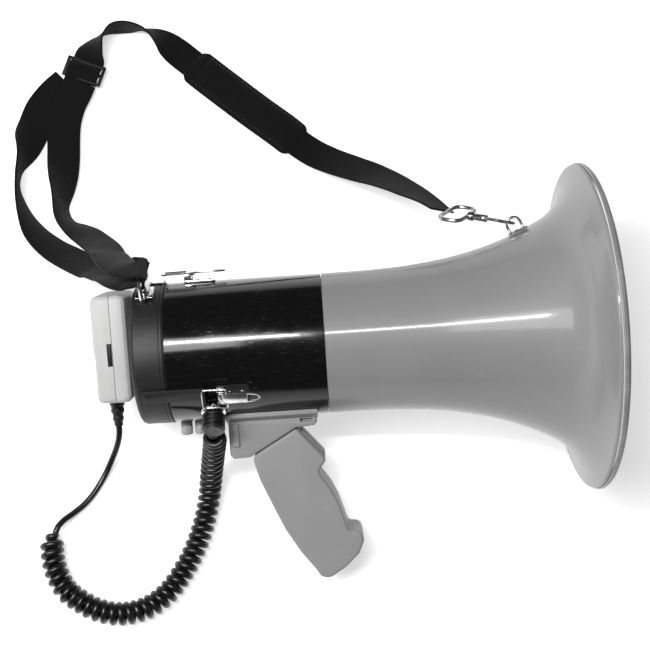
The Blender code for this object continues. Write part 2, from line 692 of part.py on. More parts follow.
def make_bracket():
    outline = [(-71.5, -40), (-71.5, -73.5), (-69, -76.2), (-57.8, -75.8), (-24.1, -56.6), (-11, -55.6), (-9.2, -53.5),
               (-9.2, -40)]
    bracket = slab("grip_bracket", [(x * MM, y * MM) for x, y in outline], 18 * MM, GREY_PLASTIC, MEGAPHONE, 2 * MM)
    flange = turned(
        "saddle",
        [(-72.5 * MM, 48 * MM), (-72.5 * MM, 52.4 * MM), (-8.5 * MM, 52.4 * MM), (-8.5 * MM, 48 * MM)],
        GREY_PLASTIC,
        MEGAPHONE,
        steps=64,
    )
    limits = block("saddle_limits", (-80 * MM, -60 * MM, -26 * MM), (0, -38 * MM, 26 * MM), STEEL, MEGAPHONE)
    boolean(flange, limits, "INTERSECT")
    join(bracket, flange)
    for side in (-1, 1):
        rib = block("rib", (-68.4 * MM, -67 * MM, side * 19 * MM - 1.4 * MM), (-64.2 * MM, -51 * MM, side * 19 * MM + 1 * MM),
                    GREY_PLASTIC, MEGAPHONE, 0.5 * MM)
        join(bracket, rib)
        window = block("nose_window", (-21 * MM, -52.4 * MM, side * 17 * MM - 3 * MM), (-12 * MM, -50 * MM, side * 17 * MM + 3 * MM),
                       STEEL, MEGAPHONE)
        cut(bracket, window)
    cut(
        bracket,
        cylinder("barrel_way", BARREL_R + GAP, (-90 * MM, 10 * MM), (1, 0, 0), STEEL, MEGAPHONE, sides=96),
        block("wire_way", (-66 * MM, -70 * MM, -14 * MM), (-44 * MM, -40 * MM, 14 * MM), STEEL, MEGAPHONE),
    )


def make_grip():
    """Two shells that meet on the middle plane, hollow, with a window for the trigger in front."""
    outline = [(x * MM, y * MM) for x, y in GRIP_OUTLINE]
    window = [on_trigger(-2.5, -4), on_trigger(25, -4), on_trigger(24.6, 4), on_trigger(24.2, 7.4),
              on_trigger(19.5, 8), on_trigger(9, 9.6), on_trigger(-1.5, 9.6), on_trigger(-2.5, 5)]
    hollow = [(-49.5, -78), (-41.5, -110), (-33.5, -129), (-24, -145), (-13, -159), (-6, -161), (10, -148), (12, -140),
              (5, -137), (1.5, -124), (-2.5, -113), (-7.5, -103), (-16.5, -92), (-20, -84), (-27, -78), (-33, -70)]
    for name, side in (("left", 1), ("right", -1)):
        shell = slab(f"grip_shell_{name}", outline, GRIP_HALF, GREY_PLASTIC, MEGAPHONE, 4 * MM, 3)
        keep = block("grip_side", (-80 * MM, -180 * MM, side * GAP / 2 if side > 0 else -30 * MM),
                     (40 * MM, -40 * MM, 30 * MM if side > 0 else side * GAP / 2), STEEL, MEGAPHONE)
        boolean(shell, keep, "INTERSECT")
        cut(
            shell,
            slab("grip_hollow", [(x * MM, y * MM) for x, y in hollow], 13.4 * MM, STEEL, MEGAPHONE),
            slab("trigger_window", window, 8.6 * MM, STEEL, MEGAPHONE),
            cylinder("pin_bore", 1.9 * MM, (-13 * MM, 13 * MM), (0, 0, 1), STEEL, MEGAPHONE, TRIGGER_HINGE, 16),
        )
        if side < 0:
            for x, y in ((-45, -88), (-14, -150)):
                spot = (x * MM, y * MM, 0)
                cut(shell, cylinder("screw_well", 3 * MM, (-20 * MM, -11.5 * MM), (0, 0, 1), STEEL, MEGAPHONE, spot, 16))
    for i, (x, y) in enumerate(((-45, -88), (-14, -150))):
        spot = (x * MM, y * MM, 0)
        screw_head = cylinder(f"grip_screw_{i + 1}", 2.6 * MM, (-14.6 * MM, -12.6 * MM), (0, 0, 1), STEEL, MEGAPHONE, spot, 16)
        slot = block("slot", (x * MM - 3 * MM, y * MM - 0.4 * MM, -15 * MM), (x * MM + 3 * MM, y * MM + 0.4 * MM, -13.9 * MM),
                     STEEL, MEGAPHONE)
        cut(screw_head, slot)


def make_trigger():
    at = frame("trigger_axis", MEGAPHONE, TRIGGER_HINGE)
    face = [on_trigger(-1, 0.2), on_trigger(22.6, 0.2), on_trigger(23.4, 1.2), on_trigger(22.8, 3), on_trigger(10, 3.2),
            on_trigger(8, 6.2), on_trigger(3, 6.2), on_trigger(-1, 3)]
    face = [(x - TRIGGER_HINGE.x, y - TRIGGER_HINGE.y) for x, y in face]
    trigger = slab("trigger", face, 8 * MM, GREY_PLASTIC, at, 0.7 * MM)
    join(trigger, cylinder("knuckle", 3.3 * MM, (-8 * MM, 8 * MM), (0, 0, 1), GREY_PLASTIC, at, (0, 0, 0), 20))
    cut(trigger, cylinder("knuckle_bore", 1.85 * MM, (-10 * MM, 10 * MM), (0, 0, 1), STEEL, at, (0, 0, 0), 16))
    cylinder("trigger_pin", 1.5 * MM, (-12.5 * MM, 12.5 * MM), (0, 0, 1), STEEL, MEGAPHONE, TRIGGER_HINGE, 16)
    spring_foot = on_trigger(16, 7.4)
    turns, wire_r, coil_r, height = 2, 0.35 * MM, 1.7 * MM, 1.5 * MM
    helix = []
    for i in range(turns * 8 + 1):
        angle = 2 * math.pi * i / 8
        lift = height * i / (turns * 8)
        side = TRIGGER_ALONG * coil_r * math.cos(angle)
        place = Vector(spring_foot) + side + TRIGGER_OUT * lift
        helix.append((place.x, place.y, coil_r * math.sin(angle)))
    curve("trigger_spring", helix, wire_r, STEEL, MEGAPHONE, resolution=1)
    block("trigger_switch", (-33 * MM, -92 * MM, -3.5 * MM), (-27 * MM, -80 * MM, 3.5 * MM), BLACK_PLASTIC, MEGAPHONE, 0.4 * MM)


# Microphone

MIC_FRONT_X = -160.0 * MM
MIC_BACK_X = -135.3 * MM
MIC_SPLIT_X = -146.2 * MM
MIC_TOP, MIC_BOTTOM, MIC_HALF = 45.0 * MM, -30.0 * MM, 27.0 * MM
BUTTON_X = (-149.4 * MM, -146.9 * MM)
BUTTON_Y = (-3.5 * MM, 11.5 * MM)


def make_mic():
    low, high = (MIC_FRONT_X, MIC_BOTTOM, -MIC_HALF), (MIC_BACK_X, MIC_TOP, MIC_HALF)
    inset = 2.4 * MM
    for name, limits in (
        ("mic_front_shell", (MIC_FRONT_X - 5 * MM, MIC_SPLIT_X - GAP / 2)),
        ("mic_back_shell", (MIC_SPLIT_X + GAP / 2, MIC_BACK_X + 5 * MM)),
    ):
        shell = block(name, low, high, LIGHT_PLASTIC, MEGAPHONE, 5 * MM, 3)
        half = block("mic_part", (limits[0], -60 * MM, -60 * MM), (limits[1], 80 * MM, 60 * MM), STEEL, MEGAPHONE)
        boolean(shell, half, "INTERSECT")
        inside = block(
            "mic_inside",
            [value + inset for value in low],
            [value - inset for value in high],
            STEEL,
            MEGAPHONE,
        )
        cut(shell, inside)
        if name == "mic_front_shell":
            step = block("front_step", (MIC_FRONT_X - 5 * MM, -40 * MM, -40 * MM),
                         (MIC_FRONT_X + 1.2 * MM, 5 * MM, 40 * MM), STEEL, MEGAPHONE)
            cut(shell, step)
            for i in range(5):
                y = (14 + 5.4 * i) * MM
                slot = block("grille_slot", (MIC_FRONT_X - 5 * MM, y, -15 * MM), (MIC_FRONT_X + 5 * MM, y + 2.2 * MM, 15 * MM),
                             STEEL, MEGAPHONE)
                cut(shell, slot)
            window = block("button_window", (BUTTON_X[0] - 0.4 * MM, BUTTON_Y[0] - 0.4 * MM, 20 * MM),
                           (BUTTON_X[1] + 0.4 * MM, BUTTON_Y[1] + 0.4 * MM, 40 * MM), STEEL, MEGAPHONE)
            cut(shell, window)
        else:
            stem = cylinder("hang_stem", 3 * MM, (MIC_BACK_X - 1 * MM, -132.2 * MM), (1, 0, 0), LIGHT_PLASTIC, MEGAPHONE, (0, 8 * MM, 0), 16)
            head = cylinder("hang_head", 6 * MM, (-132.4 * MM, -131.4 * MM), (1, 0, 0), LIGHT_PLASTIC, MEGAPHONE, (0, 8 * MM, 0), 20)
            join(shell, stem, head)
    block("mic_talk_button", (BUTTON_X[0], BUTTON_Y[0], 19 * MM), (BUTTON_X[1], BUTTON_Y[1], MIC_HALF + 0.6 * MM),
          BLACK_PLASTIC, MEGAPHONE, 0.4 * MM)
    cylinder("mic_capsule", 9 * MM, (-157.2 * MM, -150.5 * MM), (1, 0, 0), STEEL, MEGAPHONE, (0, 26 * MM, 0), 20)
    hang = [(-2 * MM, -13 * MM), (26 * MM, -13 * MM), (26 * MM, -3.8 * MM), (4.2 * MM, -3.8 * MM), (4.2 * MM, 3.8 * MM),
            (26 * MM, 3.8 * MM), (26 * MM, 13 * MM), (-2 * MM, 13 * MM)]
    turn = Matrix((Vector((0, 1, 0)), Vector((0, 0, 1)), Vector((1, 0, 0)))).transposed()
    cradle_at = frame("cradle_frame", MEGAPHONE, (-133.9 * MM, 0, 0), turn)
    cradle = slab("mic_cradle", hang, 0.7 * MM, CHROME, cradle_at)
    for side in (-1, 1):
        edge = side * 11 * MM
        join(cradle, block("foot", (-1 * MM, edge - 2 * MM, 0), (25 * MM, edge + 2 * MM, 2.6 * MM), CHROME, cradle_at))
    cylinder("mic_strain_relief", 6 * MM, (-MIC_BOTTOM + GAP, 50 * MM), (0, -1, 0), BLACK_RUBBER, MEGAPHONE,
             (-151 * MM, 0, 0), 20, tip=3.2 * MM)


# Curly cord: its plug, its coiled stretch and its straight tail


def make_socket_and_plug():
    at = barrel_frame("socket_frame", SOCKET_X, SOCKET_ANGLE)
    socket = cylinder("cord_socket", 8.5 * MM, (0.9 * MM, 3 * MM), (0, 0, 1), STEEL, at)
    join(socket, cylinder("socket_body", 5.8 * MM, (-9 * MM, 1.5 * MM), (0, 0, 1), STEEL, at))
    plug = cylinder("cord_plug", 7 * MM, (3.3 * MM, 18 * MM), (0, 0, 1), BLACK_RUBBER, at, (0, 0, 0), 24)
    rounding = plug.modifiers.new("rounding", "BEVEL")
    rounding.width = 1.5 * MM
    rounding.segments = 2
    rounding.limit_method = "ANGLE"
    rounding.angle_limit = math.radians(50)
    join(plug, cylinder("plug_collar", 4.6 * MM, (3 * MM, 11 * MM), (0, -1, 0), BLACK_RUBBER, at, (0, 0, 10.5 * MM), 20))


TAIL_ROUTE = (
    (-144.2, -47.4, 26.9), (-144, -52, 25), (-144.9, -57.5, 20.3), (-147, -63.5, 14), (-150, -70, 8.4),
    (-153.6, -77.4, 4.4), (-158, -85, 2.8),
    (-163.5, -93, 2.6), (-170, -100, 3.0), (-177, -105.5, 4.4), (-183.2, -110, 6.8), (-187.4, -114.4, 8.6),
)
COIL_ROUTE = (
    (-189, -118, 9), (-191.5, -126, 8.8), (-191, -137, 8.8), (-188, -148, 8.8), (-182, -159, 8.8), (-172.5, -167, 8.8),
    (-161, -173.5, 8.8), (-148, -177, 8.8), (-135, -176.5, 8.8), (-122, -172, 8.8), (-111, -164, 8.8), (-102, -153, 8.8),
    (-94.5, -141, 8.8), (-88.5, -128.5, 8.8), (-84, -116, 8.8), (-81, -104, 9.8), (-79.5, -94, 13), (-79, -85, 20),
    (-78.8, -77, 31), (-78.8, -70, 44), (-79.1, -65, 57), (-80.2, -61.4, 70.2),
)


def on_floor(route):
    """A route given in millimetres from the place under the black and grey joint, in metres."""
    shift = Vector((*JOINT_PLACE.xy, 0))
    return [Vector(point[:3]) * MM + shift for point in route]


def make_cord():
    curve("cord_tail", through(on_floor(TAIL_ROUTE), 2), CORD_R, BLACK_RUBBER)
    curve("cord_coil", through(on_floor(COIL_ROUTE), 2), COIL_R, BLACK_RUBBER)


# Strap. Each point is x, y, z in millimetres and the angle that the webbing is turned up from lying flat.

FRONT_ROUTE = (
    (88.5, 91.4, 99.2, 40), (81.5, 103, 89, 33), (73, 116, 75, 22), (64, 129, 60, 15), (54, 141, 45, 10), (42, 152, 31, 6),
    (29, 163, 18, 3), (17, 173, 9, 0), (6.5, 182, 5, 0),
)
PAD_ROUTE = (
    (3, 185, 4.4, 0), (-11, 197, 4, 0), (-31, 212.5, 4, 0), (-50, 228, 4, 0), (-67, 242, 4, 0), (-80, 253, 4.4, 0),
)
LEFT_ROUTE = (
    (-83, 255.5, 3.6, 0), (-91, 262.5, 3.4, 0), (-101, 270, 5.5, 15), (-112, 275, 10, 45), (-124, 277.5, 13.6, 72),
    (-136, 278, 14, 82), (-147, 275.5, 14, 78), (-155.5, 268, 12.5, 62), (-160.6, 259, 9.8, 36), (-162.8, 251.2, 8, 12),
)
LOOP_ROUTE = (
    (-169.5, 232.5, 7, -4), (-173, 224, 5.6, -2), (-178, 213, 4.3, 0), (-181.5, 199, 3.9, 0), (-182.5, 184, 4, -3),
    (-182.6, 170, 5, -10), (-183, 156, 8, -24), (-184, 142, 12, -44), (-184.8, 128, 15.5, -64), (-181.5, 114, 20, -72),
    (-173, 102.5, 28, -66), (-163, 91, 39, -56), (-153, 75.3, 59.4, -46), (-149.5, 65, 74.4, -34),
    (-145.3, 55.1, 88.5, -24), (-140.5, 49.9, 97.3, -30), (-135.6, 47.8, 101.2, -36), (-132.3, 47.5, 102.5, -41),
    (-129.4, 47.3, 102.9, -40), (-126.9, 46.6, 102.5, -44), (-125.7, 45.1, 101.1, -74), (-126.3, 43.7, 99.3, -119),
    (-128.3, 42.9, 98, -135), (-131.2, 42.6, 97, -137), (-134.9, 42.4, 95.2, -141), (-140, 43.1, 90.4, -149),
    (-145.1, 46.7, 80.4, -153), (-150.5, 53.5, 67.1, -146), (-157.7, 61.9, 52.8, -136), (-164.5, 67.5, 42.5, -130),
    (-177.5, 78.5, 28.5, -128), (-191, 90, 19, -128), (-202.5, 103, 14.2, -126),
    (-209.8, 117, 13.4, -118), (-214.5, 132, 13.4, -106), (-216.5, 147, 13.4, -96), (-214, 162, 13, -106),
    (-209.5, 178, 8.6, -140), (-204.5, 195, 2.8, -172), (-199, 211, 1.6, -180), (-189.5, 224.5, 1.6, -180),
    (-180, 233.5, 2.8, -180),
)


def make_band(name, route, width=WEBBING_WIDTH, thickness=WEBBING_THICKNESS, material=WEBBING, per_span=2):
    """Webbing: a flat strip of rectangular section along a route, twisted by each point's angle."""
    rows = through([(x, y, z, turn) for x, y, z, turn in route], per_span)
    centres = on_floor([(row[0], row[1], row[2]) for row in rows])
    mesh = bpy.data.meshes.new(name)
    bm = bmesh.new()
    rings = []
    for i, centre in enumerate(centres):
        ahead = centres[min(i + 1, len(centres) - 1)] - centres[max(i - 1, 0)]
        ahead.normalize()
        level = Vector((0, 0, 1)).cross(ahead).normalized()
        upright = ahead.cross(level)
        turn = math.radians(rows[i][3])
        side = level * math.cos(turn) + upright * math.sin(turn)
        face = ahead.cross(side)
        ring = []
        for across, out in ((1, 1), (-1, 1), (-1, -1), (1, -1)):
            ring.append(bm.verts.new(centre + side * across * width / 2 + face * out * thickness / 2))
        rings.append(ring)
    for first, second in zip(rings, rings[1:]):
        for i in range(4):
            j = (i + 1) % 4
            bm.faces.new((first[i], first[j], second[j], second[i]))
    bm.faces.new(rings[0][::-1])
    bm.faces.new(rings[-1])
    bmesh.ops.recalc_face_normals(bm, faces=bm.faces)
    bm.to_mesh(mesh)
    bm.free()
    return add(name, mesh, material)


def make_strap():
    make_band("strap_front", FRONT_ROUTE)
    make_band("shoulder_pad", PAD_ROUTE, 34 * MM, 7.4 * MM)
    make_band("strap_middle", LEFT_ROUTE)
    make_band("strap_loop", LOOP_ROUTE)


def main():
    make_horn()
    make_reflector()
    make_driver()
    make_barrel()
    make_rear_cap()
    make_batteries()
    make_amplifier()
    make_controls()
    for latch in LATCHES:
        make_latch(*latch)
    make_rear_strap_ring()
    make_snap_hook(make_front_strap_lug())
    make_slide_buckle()
    make_bracket()
    make_grip()
    make_trigger()
    make_mic()
    make_socket_and_plug()
    make_cord()
    make_strap()


main()
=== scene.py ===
"""Looks for a handheld megaphone that lies on its side with its microphone, cord and shoulder strap.

The megaphone's own frame runs +X out of the bell, -Y down the grip and +Z out of the side that faces up.
Sizes are in metres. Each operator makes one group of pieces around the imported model.
"""

import json
import math

import bmesh
import bpy
from mathutils import Matrix, Vector, noise

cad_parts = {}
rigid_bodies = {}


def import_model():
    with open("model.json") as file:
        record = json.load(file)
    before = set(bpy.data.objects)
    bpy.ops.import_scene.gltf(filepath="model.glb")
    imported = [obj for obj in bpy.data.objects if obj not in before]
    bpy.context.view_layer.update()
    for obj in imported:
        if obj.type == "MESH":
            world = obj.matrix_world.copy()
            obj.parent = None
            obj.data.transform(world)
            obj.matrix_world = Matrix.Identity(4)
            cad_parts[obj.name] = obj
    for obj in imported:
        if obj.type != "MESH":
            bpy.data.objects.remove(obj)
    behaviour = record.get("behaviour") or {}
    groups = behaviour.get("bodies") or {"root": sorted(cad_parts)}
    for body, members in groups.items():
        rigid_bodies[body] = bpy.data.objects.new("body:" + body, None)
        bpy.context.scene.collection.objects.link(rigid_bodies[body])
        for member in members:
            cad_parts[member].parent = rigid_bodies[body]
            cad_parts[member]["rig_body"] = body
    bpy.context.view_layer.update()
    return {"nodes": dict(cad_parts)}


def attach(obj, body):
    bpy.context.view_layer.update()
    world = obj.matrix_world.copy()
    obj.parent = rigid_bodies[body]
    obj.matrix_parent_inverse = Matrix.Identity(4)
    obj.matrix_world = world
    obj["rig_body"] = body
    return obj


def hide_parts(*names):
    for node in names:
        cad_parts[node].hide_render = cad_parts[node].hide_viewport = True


bl_info = {
    "name": "Handheld megaphone",
    "version": (1, 0, 0),
    "blender": (4, 5, 0),
    "location": "3D View > Sidebar > Megaphone",
    "description": "Builds a handheld megaphone with its microphone, curly cord and shoulder strap",
    "category": "Add Mesh",
}

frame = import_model()
NODES = frame["nodes"]

MM = 0.001
# The megaphone rests on the bell's rim and the rear cap's edge, which sets its pitch. JOINT is where the
# grey meets the black on the megaphone's axis, and FLOOR_MARK is the place on the floor below it.
RIM_RADIUS, CAP_RADIUS = 0.115, 0.0495
RIM_REACH, CAP_REACH = 0.1828, 0.131
JOINT = Vector((0.0066, -0.0618, 0.07522))
FLOOR_MARK = Vector((0.0066, -0.0618, 0.0))
REST_PITCH = math.atan2(RIM_RADIUS - CAP_RADIUS, RIM_REACH + CAP_REACH)
REST_ROLL = math.radians(20.5)
LYING = Matrix.Translation(JOINT) @ Matrix.Rotation(-REST_PITCH, 4, "Y") @ Matrix.Rotation(REST_ROLL, 4, "X")


# ---------------------------------------------------------------- settings


def length(name, about, size):
    """A length setting, given in millimetres."""
    return bpy.props.FloatProperty(name=name, description=about, default=size * MM, unit="LENGTH")


def colour(name, about, *rgb):
    return bpy.props.FloatVectorProperty(name=name, description=about, subtype="COLOR", size=3, default=rgb)


def power(name, about, amount):
    return bpy.props.FloatProperty(name=name, description=about, default=amount, min=0.0)


class MegaphoneSizes(bpy.types.PropertyGroup):
    barrel_radius: length("Barrel radius", "Outside of the black barrel", 49.5)
    wall: length("Wall", "Thickness of the mouldings", 2.5)
    flare_length: length("Flare length", "Along the bell, from the barrel to the lip", 172)
    flare_rise: length("Flare rise", "How much the bell's radius grows before the lip", 36.7)
    rear: length("Rear end", "Where the rear cap ends", -131)
    seam: length("Cap seam", "Where the cap meets the barrel", -109)
    cord_radius: length("Cord radius", "Radius of the microphone cord", 2.3)
    coil_radius: length("Coil radius", "Outside radius of the cord's curls", 8.5)
    curl_pitch: length("Curl pitch", "Distance from one curl to the next", 5.9)
    webbing_width: length("Webbing width", "Width of the strap", 25)
    webbing_thickness: length("Webbing thickness", "Thickness of the strap", 1.5)


class MegaphoneColours(bpy.types.PropertyGroup):
    bell: colour("Bell", "Grey moulding of the bell and grip", 0.21, 0.21, 0.212)
    barrel: colour("Barrel", "Gloss black of the barrel", 0.003, 0.003, 0.0032)
    cap: colour("Rear cap", "Duller black of the rear cap", 0.008, 0.008, 0.0083)
    microphone: colour("Microphone", "Light grey of the microphone", 0.43, 0.43, 0.427)
    webbing: colour("Webbing", "Strap and pad", 0.0035, 0.0035, 0.0037)
    cord: colour("Cord", "Cord and rubber trim", 0.006, 0.006, 0.0063)
    plating: colour("Plating", "Bright plating of the latches and rings", 0.72, 0.72, 0.73)


class StageSettings(bpy.types.PropertyGroup):
    floor: colour("Floor", "Colour of the floor", 0.93, 0.93, 0.93)
    key_power: power("Key light", "Power of the broad light from the rear left", 11.5)
    streak_power: power("Streak light", "Power of the long thin light that draws the streak", 7.5)
    glow: power("Floor glow", "Light that the floor gives out", 0.55)
    fill: power("Fill", "Strength of the surrounding light", 0.07)


# ---------------------------------------------------------------- shader maths


class Link:
    """A shader value. Python's operators on it add Math nodes to its material."""

    def __init__(self, tree, socket):
        self.tree = tree
        self.socket = socket

    def maths(self, operation, *others):
        step = self.tree.nodes.new("ShaderNodeMath")
        step.operation = operation
        for place, value in zip(step.inputs, (self, *others)):
            if isinstance(value, Link):
                self.tree.links.new(value.socket, place)
            else:
                place.default_value = value
        return Link(self.tree, step.outputs[0])

    def __add__(self, other):
        return self.maths("ADD", other)

    def __radd__(self, other):
        return self.maths("ADD", other)

    def __sub__(self, other):
        return self.maths("SUBTRACT", other)

    def __mul__(self, other):
        return self.maths("MULTIPLY", other)

    def wave(self):
        return self.maths("SINE")

    def held(self):
        """The value kept from 0 to 1."""
        return self.maths("MAXIMUM", 0.0).maths("MINIMUM", 1.0)

    def step(self, low, high):
        """0 below low, 1 above high, straight between them."""
        return ((self - low) * (1.0 / (high - low))).held()


class Finish:
    """A material as it is put together, with the shader that its links feed."""

    def __init__(self, name, **fixed):
        self.material = bpy.data.materials.new(name)
        self.material.use_nodes = True
        self.tree = self.material.node_tree
        self.tree.nodes.clear()
        output = self.tree.nodes.new("ShaderNodeOutputMaterial")
        self.shader = self.tree.nodes.new("ShaderNodeBsdfPrincipled")
        self.tree.links.new(self.shader.outputs[0], output.inputs["Surface"])
        for name, value in fixed.items():
            self.set(name.replace("_", " ").title().replace("Ior", "IOR"), value)

    def set(self, socket, value):
        place = self.shader.inputs[socket]
        if isinstance(value, Link):
            self.tree.links.new(value.socket, place)
        elif hasattr(value, "__len__") and len(value) == 3:
            place.default_value = (*value, 1.0)
        else:
            place.default_value = value

    def node(self, kind, settings=None, values=None, result=0):
        """One node: its settings first, then its sockets, by name or number."""
        made = self.tree.nodes.new(kind)
        for name, value in (settings or {}).items():
            setattr(made, name, value)
        for name, value in (values or {}).items():
            place = made.inputs[name]
            if isinstance(value, Link):
                self.tree.links.new(value.socket, place)
            elif hasattr(value, "__len__") and place.type == "RGBA":
                place.default_value = (*value, 1.0)[:4]
            else:
                place.default_value = value
        return Link(self.tree, made.outputs[result])

    def here(self):
        """Object coordinates."""
        return self.node("ShaderNodeTexCoord", result=3)

    def cloth_map(self):
        """The piece's own map: metres across and along."""
        return self.node("ShaderNodeTexCoord", result=2)

    def stretched(self, vector, scale, turn=(0, 0, 0)):
        return self.node("ShaderNodeMapping", values={"Vector": vector, "Scale": scale, "Rotation": turn})

    def grain(self, vector, scale, detail=3.0, roughness=0.55):
        return self.node(
            "ShaderNodeTexNoise",
            values={"Vector": vector, "Scale": scale, "Detail": detail, "Roughness": roughness},
        )

    def across(self, vector, axis):
        return self.node("ShaderNodeSeparateXYZ", values={"Vector": vector}, result="XYZ".index(axis))

    def mix(self, share, first, second):
        return self.node(
            "ShaderNodeMix",
            settings={"data_type": "RGBA"},
            values={0: share, 6: first, 7: second},
            result=2,
        )

    def bump(self, height, distance, strength):
        values = {"Height": height, "Distance": distance, "Strength": strength}
        return self.node("ShaderNodeBump", values=values)


def shade(colour, factor):
    return tuple(min(1.0, channel * factor) for channel in colour)


def colours():
    return bpy.context.scene.megaphone_colours


def sizes():
    return bpy.context.scene.megaphone_sizes


# ---------------------------------------------------------------- finishes


def moulded(name, colour, roughness, scuffs=0.06, grain=0.00004, coat=0.0):
    """Satin injection moulding: fine spark grain, faint flow clouds and light handling scuffs."""
    finish = Finish(name, specular_ior_level=0.22, coat_weight=coat, coat_roughness=0.11)
    here = finish.here()
    clouds = finish.grain(here, 11.0, 2.0)
    fine = finish.grain(here, 1500.0, 2.0)
    drawn = finish.stretched(here, (26, 210, 160), (0.3, 0.2, 0.5))
    scuff = finish.grain(drawn, 1.0, 5.0, 0.7).step(0.6, 0.72)
    tone = finish.mix(clouds.step(0.3, 0.7), shade(colour, 0.93), shade(colour, 1.06))
    finish.set("Base Color", finish.mix(scuff * scuffs * 2.0, tone, shade(colour, 1.45)))
    finish.set("Roughness", roughness + (clouds - 0.5) * 0.08 + scuff * scuffs * 2.0)
    finish.set("Normal", finish.bump(fine, grain * 10, 0.35))
    return finish.material


def gloss_black(name, colour, roughness, dust=0.5):
    """Gloss moulding with thin hairline scratches, a few dust specks and smudges."""
    finish = Finish(name, specular_ior_level=0.42)
    here = finish.here()
    smudge = finish.grain(here, 34.0, 4.0, 0.6).step(0.42, 0.75)
    drawn = finish.stretched(here, (9, 900, 700), (0.12, 0.06, 0.18))
    hair = finish.grain(drawn, 1.0, 2.0, 0.5).step(0.63, 0.7)
    speck = finish.grain(here, 760.0, 1.0, 0.5).step(0.74, 0.8)
    tone = finish.mix(hair * 0.16 * dust, colour, (0.12, 0.12, 0.12))
    finish.set("Base Color", finish.mix(speck * 0.35 * dust, tone, (0.25, 0.25, 0.24)))
    finish.set("Roughness", roughness + smudge * 0.10 + hair * 0.12)
    wave = finish.grain(here, 60.0, 1.0)
    finish.set("Normal", finish.bump(wave, 0.00012, 0.25))
    return finish.material


def rubber(name, colour, roughness=0.42):
    """Cord and seal rubber with a faint skin and pale bloom in places."""
    finish = Finish(name, specular_ior_level=0.5)
    here = finish.here()
    skin = finish.grain(here, 820.0, 2.0)
    bloom = finish.grain(here, 42.0, 3.0).step(0.45, 0.75)
    finish.set("Base Color", finish.mix(bloom * 0.4, colour, shade(colour, 2.2)))
    finish.set("Roughness", roughness + bloom * 0.1)
    finish.set("Normal", finish.bump(skin, 0.0002, 0.25))
    return finish.material


def plated(name, colour, roughness):
    """Bright plating with soft polishing marks and dull spots."""
    finish = Finish(name, metallic=1.0)
    here = finish.here()
    marks = finish.grain(finish.stretched(here, (60, 900, 900)), 1.0, 3.0)
    dull = finish.grain(here, 160.0, 3.0).step(0.5, 0.75)
    finish.set("Base Color", finish.mix(dull * 0.5, colour, shade(colour, 0.5)))
    finish.set("Roughness", roughness + (marks - 0.5) * 0.12 + dull * 0.18)
    finish.set("Normal", finish.bump(marks, 0.00005, 0.3))
    return finish.material


def woven(name, colour, rib=0.0016):
    """Strap webbing: cross ribs over a fine twill, and fuzz."""
    finish = Finish(name, roughness=0.85, sheen_weight=0.05, sheen_roughness=0.5, specular_ior_level=0.12)
    cloth = finish.cloth_map()
    along, over = finish.across(cloth, "Y"), finish.across(cloth, "X")
    turn = 2 * math.pi
    weft = (along * (turn / rib)).wave()
    warp = (over * (turn / 0.0011) + weft * 1.2).wave()
    slant = ((along + over) * (turn / 0.0032)).wave()
    thread = weft * 0.4 + warp * 0.4 + slant * 0.25
    fuzz = finish.grain(finish.here(), 1300.0, 2.0)
    # Painted shade and highlight of the weave: the colour runs darker where the threads dip and lighter where
    # they rise
    lift = (thread * 0.5 + 0.5).held()
    share = lift * 0.8 + (fuzz - 0.5) * 0.5
    finish.set("Base Color", finish.mix(share, shade(colour, 0.45), shade(colour, 2.3)))
    finish.set("Normal", finish.bump(thread + fuzz * 0.6, 0.00022, 0.8))
    return finish.material


def padding(name, colour):
    """Pad cloth: a close plain weave."""
    finish = Finish(name, roughness=0.8, sheen_weight=0.06, sheen_roughness=0.45, specular_ior_level=0.15)
    cloth = finish.cloth_map()
    along, over = finish.across(cloth, "Y"), finish.across(cloth, "X")
    turn = 2 * math.pi / 0.0012
    basket = (along * turn).wave() * (over * turn).wave()
    fuzz = finish.grain(finish.here(), 900.0, 3.0)
    wear = finish.grain(finish.here(), 60.0, 3.0).step(0.5, 0.8)
    # Painted shade and highlight of the weave: darker where the basket dips and lighter where it rises; the pale
    # wear patches are the cloth's own
    tone = finish.mix((basket * 0.5 + 0.5) * 0.7, shade(colour, 0.6), shade(colour, 1.9))
    finish.set("Base Color", finish.mix(wear * 0.25, tone, shade(colour, 3.0)))
    finish.set("Normal", finish.bump(basket + fuzz * 0.5, 0.00018, 0.7))
    return finish.material


def brushed(name, colour, roughness=0.35):
    finish = Finish(name, metallic=1.0)
    here = finish.here()
    lines = finish.grain(finish.stretched(here, (40, 1400, 1400)), 1.0, 2.0)
    finish.set("Base Color", finish.mix(lines, shade(colour, 0.8), colour))
    finish.set("Roughness", roughness + (lines - 0.5) * 0.15)
    finish.set("Normal", finish.bump(lines, 0.00004, 0.3))
    return finish.material


def printed_board(name):
    finish = Finish(name, specular_ior_level=0.5)
    here = finish.here()
    tracks = finish.node("ShaderNodeTexBrick", values={"Vector": here, "Scale": 60.0}, result=1).step(0.4, 0.6)
    finish.set("Base Color", finish.mix(tracks, (0.01, 0.09, 0.03), (0.03, 0.2, 0.08)))
    finish.set("Roughness", 0.35 + tracks * 0.1)
    return finish.material


STORE = {}


